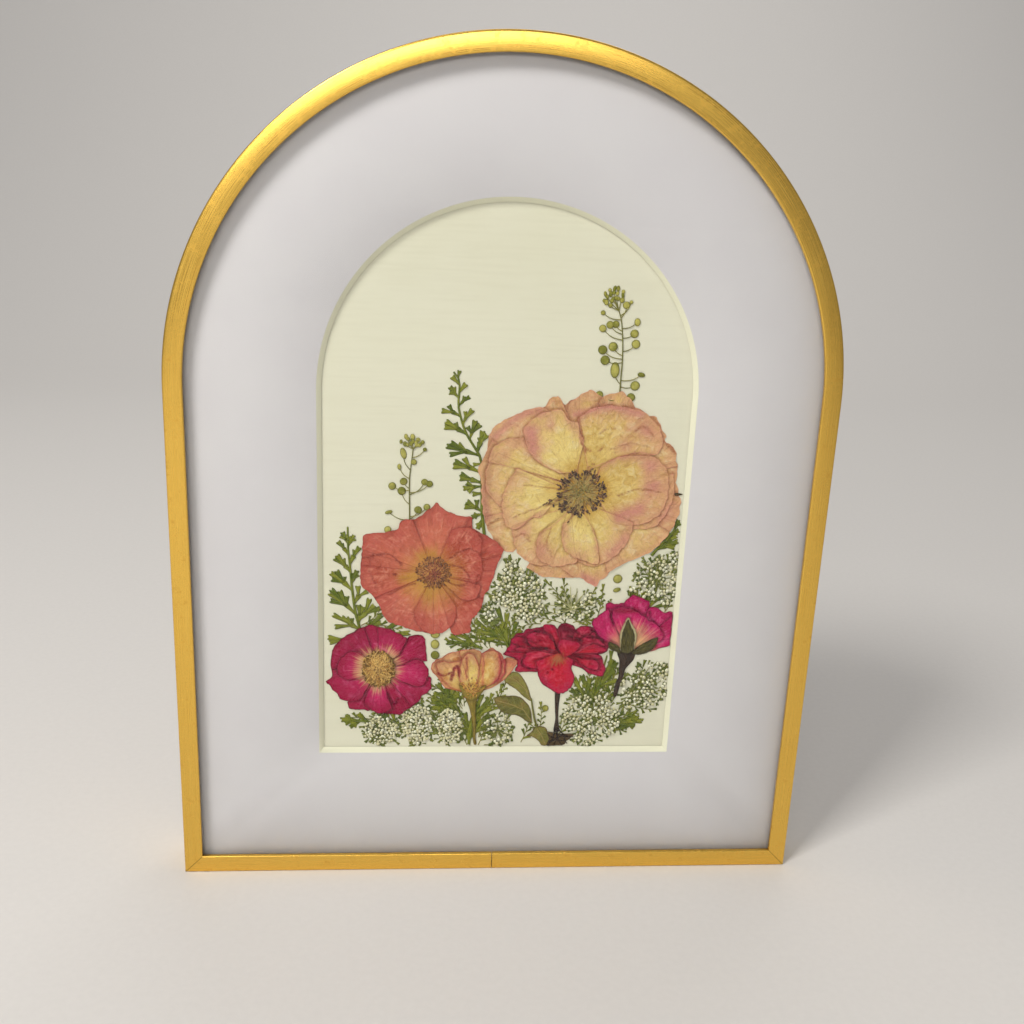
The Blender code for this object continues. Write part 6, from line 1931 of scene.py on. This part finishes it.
RUFFLES = [
    ((20, 83), [(8, 86.5), (9.6, 89.4), (13, 90.6), (16.4, 90), (18.4, 88.2)], 0.45),
    ((19.5, 82), [(9.3, 87.6), (9.6, 85.8), (11.2, 84.4), (14, 83.8), (17, 84.2)], 0.8),
    ((21.5, 82), [(12.6, 83.6), (9.4, 82.4), (7.8, 79.6), (8.8, 77), (12.4, 76.2), (16, 77.6)], 0.85),
    ((25, 83), [(27, 87.4), (31, 89.2), (35, 87.2), (37.2, 85)], 0.35),
    ((25, 82.4), [(32.5, 86.4), (36.2, 84.8), (37.2, 83.4), (34, 82.4)], 0.75),
    ((26, 81.2), [(28.2, 78.4), (31.6, 76.4), (34.2, 76.2), (34.8, 78.6), (33, 80.6)], 0.55),
]  # fmt: skip
# Positive strokes are painted highlights, negative ones painted crease shade and a shadow; the dots are real spots.
RED_HIGHLIGHTS_SHADE_AND_SPOTS = [
    ([(26.2, 82.5), (31.3, 85.8)], 0.4, 0.7), ([(27, 82.2), (35, 82.3)], 0.35, 0.7),
    ([(31, 92), (36, 86.5)], 0.5, -0.9), ([(9.3, 88), (9.5, 86.5), (11, 85), (14, 84.2), (17.5, 84.5)], 0.35, -0.8),
    ([(4, 86.5), (6, 85), (10, 84), (17, 84.5)], 0.35, -0.8), ([(15, 81.6), (18, 83.2)], 1.5, 0.5),
    ([(10, 86.8), (13, 88.6), (16.5, 88.8)], 0.35, 0.6), ([(9.8, 84.6), (13, 85.6), (17, 86)], 0.4, 0.5),
    ([(10, 79.5), (13.5, 82), (18.5, 82.8)], 0.7, 0.6), ([(28, 84.6), (33, 86.6), (37, 85)], 0.45, 0.6),
    ([(29, 79.5), (32, 77.5), (34.5, 77)], 0.5, 0.5), ([(5, 84), (10, 85.2), (15, 84)], 0.4, -0.6),
    ([(12, 90.5), (16, 89.5), (19, 86.5)], 0.45, -0.9), ([(26, 90.5), (30, 88.5), (36, 88)], 0.45, -0.9),
    ([(20, 88.3), (24, 88.8), (28.5, 87)], 0.35, -1), ([(27, 80.8), (32, 80), (36, 80.5)], 0.4, -0.9),
    ([(9, 81.4), (8.4, 78.4), (11, 76.4)], 0.4, -0.8), ([(15.6, 73), (17, 70.6)], 0.8, -0.4), ([(34, 76)], 1.2, 0.7),
    ([(32, 78.6), (34.6, 75.4)], 0.8, -0.5), ([(18.9, 76)], 0.6, -1.2), ([(17.2, 74.8)], 0.4, -1.2),
    ([(15.2, 82)], 0.4, -1.2), ([(18.8, 88), (22, 88.2), (25.4, 87.2)], 0.3, 0.8),
]  # fmt: skip
print("marks of the red rose:", len(RED_HIGHLIGHTS_SHADE_AND_SPOTS))

# %% Lay the red rose
red = Sheets("red_rose_petals", 15)
UNDER_RUFFLES = 9
for root, rim, tone in RED[:UNDER_RUFFLES] + RUFFLES + RED[UNDER_RUFFLES:]:
    petal(red, root, rim, tone, RED_HIGHLIGHTS_SHADE_AND_SPOTS, [([(21.3, 92), (24, 91)], 2.0, 1.0)], fine=0.45)
red_look = petal_look(
    "red_petal", (20.3, 80.2), (0.3, 3.2), glow=ink(188, 128, 76), low=ink(140, 0, 40), high=ink(206, 14, 44),
    outer=ink(186, 24, 72), vein=ink(214, 64, 90), rim=ink(60, 0, 18), dark=ink(66, 0, 22), blotch=ink(92, 12, 32),
    light=ink(226, 86, 112), sheen=0.5, line=0.5, folds=0.34, depth=0.5,
)  # fmt: skip
print("red rose:", len(RED) + len(RUFFLES), "petals")

# %% Apricot rose
APRICOT = [
    ((-7, 67), [(2.5, 80.7), (4.6, 80.7), (6.3, 79.3), (6, 77.8), (4.9, 75.7), (3.1, 73.4), (0.8, 71.1),
        (-1.6, 69.3)], 0.95),
    ((-7.6, 67), [(-5.8, 82.2), (-3.3, 83.8), (-1.9, 83.9), (-0.7, 83.1), (1.5, 81), (2.4, 77), (1.8, 74), (0, 71.5)],
        0.6),
    ((-10, 67), [(-18.2, 69.1), (-21.2, 73.4), (-23.2, 76), (-21.8, 79.6), (-20.3, 80.1), (-17.7, 81.6),
        (-13.9, 83.1), (-11, 83.4)], 0.2),
    ((-8.4, 67), [(-13.9, 82.8), (-10.9, 83.8), (-8, 83.5), (-6.3, 82.8), (-5.2, 80), (-4.8, 76)], 0.7),
    ((-7.8, 67), [(-6, 82.4), (-3.3, 83.2), (-1, 82.8), (0, 82), (0.8, 78), (0.3, 74), (-1.5, 71)], 0.45),
    ((-9.6, 67), [(-16.5, 69.4), (-19.6, 73.2), (-21.5, 78), (-19, 79.2), (-16.5, 78.5), (-13.4, 79.6), (-11.4, 80.6),
        (-10.6, 77)], 0.45),
    ((-8.6, 67), [(-13.3, 72), (-13.4, 76), (-12.6, 80), (-10.6, 82.4), (-8.6, 81.6), (-7, 78), (-6.4, 74)], 0.75),
]  # fmt: skip
APRICOT_MARKS = [
    ([(-16.2, 72.2), (-15.2, 76), (-14.5, 77.2), (-13.6, 76.3), (-13.3, 73.7)], 0.5, -1.3),
    ([(-20.6, 74.3), (-18.4, 73.9), (-16.5, 74.8)], 0.42, -1.2), ([(-11, 73), (-11, 81)], 0.4, -0.5),
    ([(-8.8, 72.8)], 0.35, -1.1), ([(-7.5, 72)], 0.3, -1.1), ([(-12.8, 70)], 0.3, -1.1),
]  # fmt: skip
APRICOT_BLUSH = [
    ([(0, 82), (0.8, 78), (0.3, 74), (-1.5, 71)], 0.7, 0.9), ([(1.5, 81), (2.4, 77), (1.8, 74), (0, 71.5)], 0.6, 0.9),
    ([(-5.3, 70), (-5.3, 82)], 0.5, 0.7), ([(-14.6, 76.2)], 1.1, 0.9), ([(-15.6, 73.6)], 0.9, 0.6),
    ([(-11, 73), (-11, 81)], 0.8, 0.7), ([(4.4, 78.6)], 2.4, 0.7),
]  # fmt: skip
apricot = Sheets("apricot_rose_petals", 16)
for root, rim, tone in APRICOT:
    petal(apricot, root, rim, tone, APRICOT_MARKS, APRICOT_BLUSH, fine=0.38, curl=0.18)
CUP = [
    (-13.4, 70.6), (-12.6, 68), (-11.2, 65.6), (-9, 64.6), (-7, 65.4), (-5.2, 67.6), (-4, 70.2), (-6.6, 69.4),
    (-8.8, 70.4), (-11, 69.2),
]  # fmt: skip
blade(apricot_stem, CUP, [(-8.8, 64.6), (-8.8, 70.4)], tone=0.7, spacing=0.4, bulge=0.1, rough=0.2)
apricot_look = petal_look(
    "apricot_petal", (-9.0, 66.5), (0.5, 7.4), glow=ink(168, 114, 36), low=ink(212, 144, 74), high=ink(242, 216, 122),
    outer=ink(222, 160, 116), vein=ink(206, 118, 84), rim=ink(178, 60, 66), dark=ink(124, 14, 40),
    blotch=ink(204, 84, 84), light=ink(246, 230, 162), line=0.45, folds=0.3, depth=0.55,
)  # fmt: skip
print("apricot rose:", len(APRICOT), "petals")

# %% Cerise rose
CERISE = [
    ((44, 84), [(35.9, 98.5), (35.9, 100.4), (37.5, 101.1), (40.2, 100.7), (42.1, 101.2), (44, 100.5)], 0.25),
    ((45, 84), [(42.1, 101.2), (43.1, 102.7), (45.1, 103.9), (47.7, 103.5), (49.4, 102.7), (50.7, 101.7),
        (51.2, 99.8), (52, 97)], 0.4),
    ((46, 84), [(50.8, 99.8), (52.6, 99.8), (54.3, 99.4), (56.3, 97.5), (58.2, 98.1), (59.5, 97.6), (59.5, 94),
        (59, 90)], 0.5),
    ((46.5, 84), [(59.5, 97), (59.5, 92), (59.5, 86.3), (58.6, 85), (56.3, 84.3), (54.3, 83.5), (52.3, 82.9)], 0.3),
    ((43.5, 84), [(37, 99), (35.6, 98.1), (33.6, 96.5), (31.6, 94.5), (31.5, 93.5), (32.3, 91.5), (33.9, 89.2),
        (35.6, 87.6), (37.5, 86.3), (38.8, 84.6)], 0.6),
    ((45, 83.5), [(38.6, 93.5), (38, 96), (38.3, 98.3), (40, 99.4), (43, 99.5), (46, 98.8), (49, 96.8), (51.5, 95),
        (54, 93.5), (56, 91), (57, 88.5), (55.5, 86.5)], 0.85),
]  # fmt: skip
# A painted highlight on the lower right petal, and painted shade along two petal edges.
CERISE_HIGHLIGHT_AND_SHADE = [
    ([(56, 86), (58, 88)], 1.4, 0.5), ([(38, 98), (38, 96), (39.5, 93)], 0.4, -1),
    ([(51.2, 98), (51.8, 96), (54, 93.5)], 0.4, -0.9),
]  # fmt: skip
cerise = Sheets("cerise_rose_petals", 17)
for root, rim, tone in CERISE:
    petal(cerise, root, rim, tone, CERISE_HIGHLIGHT_AND_SHADE, [([(40, 98), (47, 98.4)], 1.1, 0.9)], fine=0.45)
cerise_look = petal_look(
    "cerise_petal", (46.0, 85.4), (2.4, 10.5), glow=ink(236, 190, 134), low=ink(172, 4, 66), high=ink(222, 36, 108),
    outer=ink(192, 12, 92), vein=ink(222, 74, 138), rim=ink(80, 0, 32), dark=ink(92, 0, 38), blotch=ink(140, 6, 40),
    light=ink(236, 110, 164), sheen=0.5, line=0.5, folds=0.34, depth=0.55,
)  # fmt: skip
print("cerise rose:", len(CERISE), "petals")

# %% [markdown]
# ## Calyx and twigs
#
# The cerise rose shows its hip and three sepals. The long one has a pale margin round a fleshy middle, so it is two
# blades, one over the other. One sepal of the peach rose sticks out at its right, and the red rose's stem ends in a
# bundle of split bark, which is drawn as a few crossing tubes over its foot.

# %% Calyx of the cerise rose
hip = Sheets("cerise_rose_calyx", 18)
blade(
    hip, [(41.2, 82.6), (44, 83.4), (47.2, 82.4), (47.1, 80), (45.7, 78.1), (44.4, 76.4), (43.8, 73.8), (42.9, 71.5),
    (42.1, 66.4), (40.8, 66.2), (41.2, 71), (42.1, 73.4), (42.1, 76.4), (42, 79.7)],
    [(44.2, 83), (44, 79), (43, 74), (41.5, 66.2)], spacing=0.45, bulge=0.35, count=110, rough=0.04,
)  # fmt: skip
margins = Sheets("cerise_rose_sepal_margins", 19)
SEPALS = [
    [(42.5, 83), (41.6, 87.6), (41.7, 90.6), (42.7, 93.4), (43.9, 95.9), (45.2, 93.8), (46.8, 91.2), (47.5, 88.9),
        (47.2, 85.6), (46.4, 83)],
    [(46.2, 82.6), (48.4, 85.1), (51, 86.8), (53.6, 88.2), (54.9, 88.2), (54.3, 85.5), (52.3, 83), (49, 81.8)],
    [(42.3, 82.2), (40.5, 83), (38.1, 84.3), (37.8, 86.7), (39.2, 86.3), (41.4, 85)],
]  # fmt: skip
FLESHY = [
    (42.5, 83), (42.2, 87.4), (42.4, 90.4), (43.1, 92.8), (43.9, 95.2), (44.8, 93.4), (46, 91), (46.7, 88.8),
    (46.6, 85.6), (46.4, 83),
]  # fmt: skip
RIBS = [
    [(44.4, 82.8), (44.3, 89), (43.9, 95.6)],
    [(46.6, 82.4), (50.8, 84.6), (54.6, 87.4)],
    [(42.2, 82.8), (40, 84.4), (38.2, 86.2)],
]  # fmt: skip
blade(margins, SEPALS[0], RIBS[0], tone=0.6, spacing=0.4, bulge=0.06, rough=0.08)
cores = Sheets("cerise_rose_sepals", 20)
for outline, rib in zip([*SEPALS[1:], FLESHY], [*RIBS[1:], RIBS[0]]):
    blade(cores, outline, rib, tone=0.4, spacing=0.4, bulge=0.1, rough=0.14)
print("sepals:", len(SEPALS))

# %% Sepal tip and twigs
peach_sepals = Sheets("peach_rose_sepal_tips", 21)
blade(
    peach_sepals, [(56.6, 139.5), (58, 139.5), (59.3, 139.9), (58, 140.3), (56.6, 140.4)],
    [(56.6, 140), (59.3, 139.9)], spacing=0.4, count=40,
)  # fmt: skip
TWIGS = [
    (20.6, 54, 18.4, 47), (21.2, 54, 20.6, 46.9), (21.8, 54, 25.6, 50.8), (21.4, 52, 23.8, 47.2),
    (22.4, 51.6, 27.4, 50.6), (19.4, 50.6, 24.6, 49), (18.6, 48.6, 23.6, 51.6), (24.2, 51, 25.4, 47.8),
    (22.2, 49.6, 18.4, 51.4),
]  # fmt: skip
twigs = []
for x0, z0, x1, z1 in TWIGS:
    twigs.append(bowed((x0, z0), (x1, z1), 0.95, 0.85, 0.3, 0.14, bow=0.1 if x1 > x0 else -0.1, count=8))
draw_tubes("red_rose_stem_twigs", twigs, dark_look, "red_rose_stem", "dark_stem")

# %% Join the sheets of each flower
FINISHED = [
    (peach_outer, peach_look, "peach_rose_outer_petals", "peach_petal"),
    (peach_inner, peach_look, "peach_rose_inner_petals", "peach_petal"),
    (peach_sepals, bark_look, "peach_rose_outer_petals", "peach_petal"),
    (coral, coral_look, "coral_rose_petals", "coral_petal"),
    (magenta, magenta_look, "magenta_rose_petals", "magenta_petal"),
    (hearts, heart_look, "magenta_rose_petals", "magenta_petal"),
    (coral_heart, ruddy_look, "coral_rose_petals", "coral_petal"),
    (red, red_look, "red_rose_petals", "red_petal"),
    (apricot, apricot_look, "apricot_rose_petals", "apricot_petal"),
    (cerise, cerise_look, "cerise_rose_petals", "cerise_petal"),
    (apricot_stem, tan_look, "apricot_rose_stem", "tan_stem"),
    (red_stem, dark_look, "red_rose_stem", "dark_stem"),
    (red_foot, bark_look, "red_rose_stem", "dark_stem"),
    (hip, dark_look, "cerise_rose_calyx", "sepal"),
    (margins, cream_look, "cerise_rose_calyx", "sepal"),
    (cores, sepal_look, "cerise_rose_calyx", "sepal"),
]
for sheets, look, replaced, slot in FINISHED:
    sheets.finish(look, replaced, slot)
print("pile stands", round(float(pile.high.max()), 2), "mm high at most")

# %% [markdown]
# ## Stamens
#
# In the three open roses a ring of stamens surrounds the small disc of styles: fine filaments, each with a
# bean-shaped anther. The anthers gather in clusters, as they stuck together when the flower was pressed. The apricot
# rose shows a small tuft of them between its petals, and as it has no CAD node for them, the tuft goes with them.

# %% Stamens


def speck(name, low, high):
    """A matt, grainy finish for anthers and filaments."""
    look = Finish(name)
    grain = look.noise(look.place(5.0), 3.0, 0.7)
    body = look.mix(look.ease(grain + (look.value("tone") - 0.5) * 0.7, 0.3, 0.7), low, high)
    return look.done(look.surface(base_color=body, roughness=0.75, normal=look.bump(grain, 0.05)))


ANTHER_TOP, FOOT_TOP, STYLE_TOP = 1.72, 1.7, 1.6


def set_stamens(
    name, slot, heart, ring, clusters, count, seed, anther, filament, disc, size, inner, sway=0.12, thread=0.1
):
    """Anthers in an oval ring and in clusters, filaments to them from the heart, and the disc of styles."""
    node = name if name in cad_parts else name.replace("stamens", "petals")
    rng = np.random.default_rng(seed)
    angles = rng.uniform(0, math.tau, count)
    reach = rng.uniform(inner**2, 1.0, count) ** 0.5
    places = [np.stack([ring[0] + ring[2] * reach * np.cos(angles), ring[1] + ring[3] * reach * np.sin(angles)], -1)]
    for x, z, spread, number in clusters:
        places.append(np.array([x, z]) + rng.normal(0, spread, (number, 2)))
    places = np.concatenate(places)
    count = len(places)
    heart = np.array(heart, float)
    out = places - heart
    facing = -np.arctan2(out[:, 1], out[:, 0]) + rng.uniform(-1.1, 1.1, count)
    turn = np.stack([rng.uniform(-0.3, 0.3, count), facing, rng.uniform(-0.3, 0.3, count)], -1)
    grow = rng.uniform(0.75, 1.25, (count, 1)) * np.array([[size, size * 0.7, size]])
    high = np.minimum(pile.read(*places.T) + rng.uniform(0.12, 0.3, count), ANTHER_TOP)
    given = {"item": bean, "spread": 0.12, "seed": seed, "finish": anther}
    scatter(name, places, high, turn, grow, rng.uniform(0, 1, count), node, slot, **given)
    paths = []
    for place, h in zip(places, high):
        foot = heart + (place - heart) * rng.uniform(0.1, 0.55) + rng.normal(0, 0.4, 2)
        start = min(float(pile.read(*foot)) + 0.1, FOOT_TOP)
        paths.append(bowed(foot, place, start, h, thread, thread * 0.7, bow=rng.uniform(-sway, sway), count=5))
    draw_tubes(f"{name}_filaments", paths, filament, node, slot)
    width, number, look = disc
    styles = heart + rng.normal(0, width, (number, 2))
    turn, grow = rng.uniform(-3, 3, (number, 3)), np.full((number, 3), 0.8)
    high = np.minimum(pile.read(*styles.T) + 0.22, STYLE_TOP)
    given = {"item": bean, "spread": 0.2, "seed": seed, "finish": look}
    scatter(f"{name}_styles", styles, high, turn, grow, rng.uniform(0, 1, number), node, slot, **given)


print("stamens ready")

# %% Stamens of the roses
set_stamens(
    "peach_rose_stamens", "dark_stamen", heart=(24.8, 140.2), ring=(25.4, 139.8, 8.0, 7.8),
    clusters=[(18.6, 134.6, 0.9, 20), (18.7, 138.6, 0.7, 14), (19.3, 143.2, 0.8, 12), (21.8, 146, 0.9, 14),
    (28.7, 136.6, 1, 10), (31.9, 139.8, 0.9, 10), (24, 133.8, 1.1, 20), (29.6, 144.6, 1, 14), (13.9, 135.9, 0.5, 5),
    (28, 146.6, 0.8, 8)], count=130, seed=31, anther=speck("dark_anther", ink(48, 30, 26), ink(112, 78, 50)),
    filament=speck("peach_filament", ink(128, 100, 52), ink(188, 158, 92)),
    disc=(1.9, 150, speck("peach_styles", ink(112, 96, 48), ink(164, 148, 84))), size=1.15, inner=0.62,
)  # fmt: skip
APRICOT_BITS = [(-9.0, 69.6, 1.5, 26), (-11.4, 70.2, 1.0, 10), (-6.4, 70.0, 0.9, 10)]
set_stamens(
    "apricot_rose_stamens", "apricot_petal", heart=(-9.0, 67.2), ring=(-9.0, 69.4, 3.0, 2.0), clusters=APRICOT_BITS,
    count=8, seed=34, anther=speck("apricot_anther", ink(120, 64, 26), ink(222, 166, 70)),
    filament=speck("apricot_filament", ink(190, 132, 54), ink(226, 178, 90)),
    disc=(0.9, 12, speck("apricot_styles", ink(170, 110, 44), ink(216, 164, 80))), size=0.7, inner=0.3,
)  # fmt: skip
set_stamens(
    "coral_rose_stamens", "brown_stamen", heart=(-22.9, 111.2), ring=(-23.1, 111.3, 5.9, 5.9),
    clusters=[(-25.6, 113.8, 0.8, 8), (-20.4, 108.2, 0.8, 8)], count=210, seed=32,
    anther=speck("brown_anther", ink(84, 44, 26), ink(136, 84, 44)),
    filament=speck("coral_filament", ink(150, 84, 44), ink(198, 140, 74)),
    disc=(1.35, 110, speck("coral_styles", ink(112, 50, 38), ink(160, 84, 58))), size=0.72, inner=0.55,
)  # fmt: skip
set_stamens(
    "magenta_rose_stamens", "gold_stamen", heart=(-41.1, 76.2), ring=(-41.1, 76.2, 5.9, 7.2),
    clusters=[(-44.2, 72.4, 0.8, 9), (-38.4, 79.6, 0.8, 9)], count=240, seed=33,
    anther=speck("gold_anther", ink(112, 78, 34), ink(206, 162, 80)),
    filament=speck("magenta_filament", ink(164, 112, 42), ink(226, 186, 108)),
    disc=(1.1, 50, speck("magenta_styles", ink(112, 78, 36), ink(190, 150, 84))), size=0.75, inner=0.2, sway=0.5,
    thread=0.13,
)  # fmt: skip

# %% [markdown]
# ## Last steps
#
# The items have done their work and go.

# %% Remove the items
for used in (floret, lobe, bean, pod):
    bpy.data.objects.remove(used)
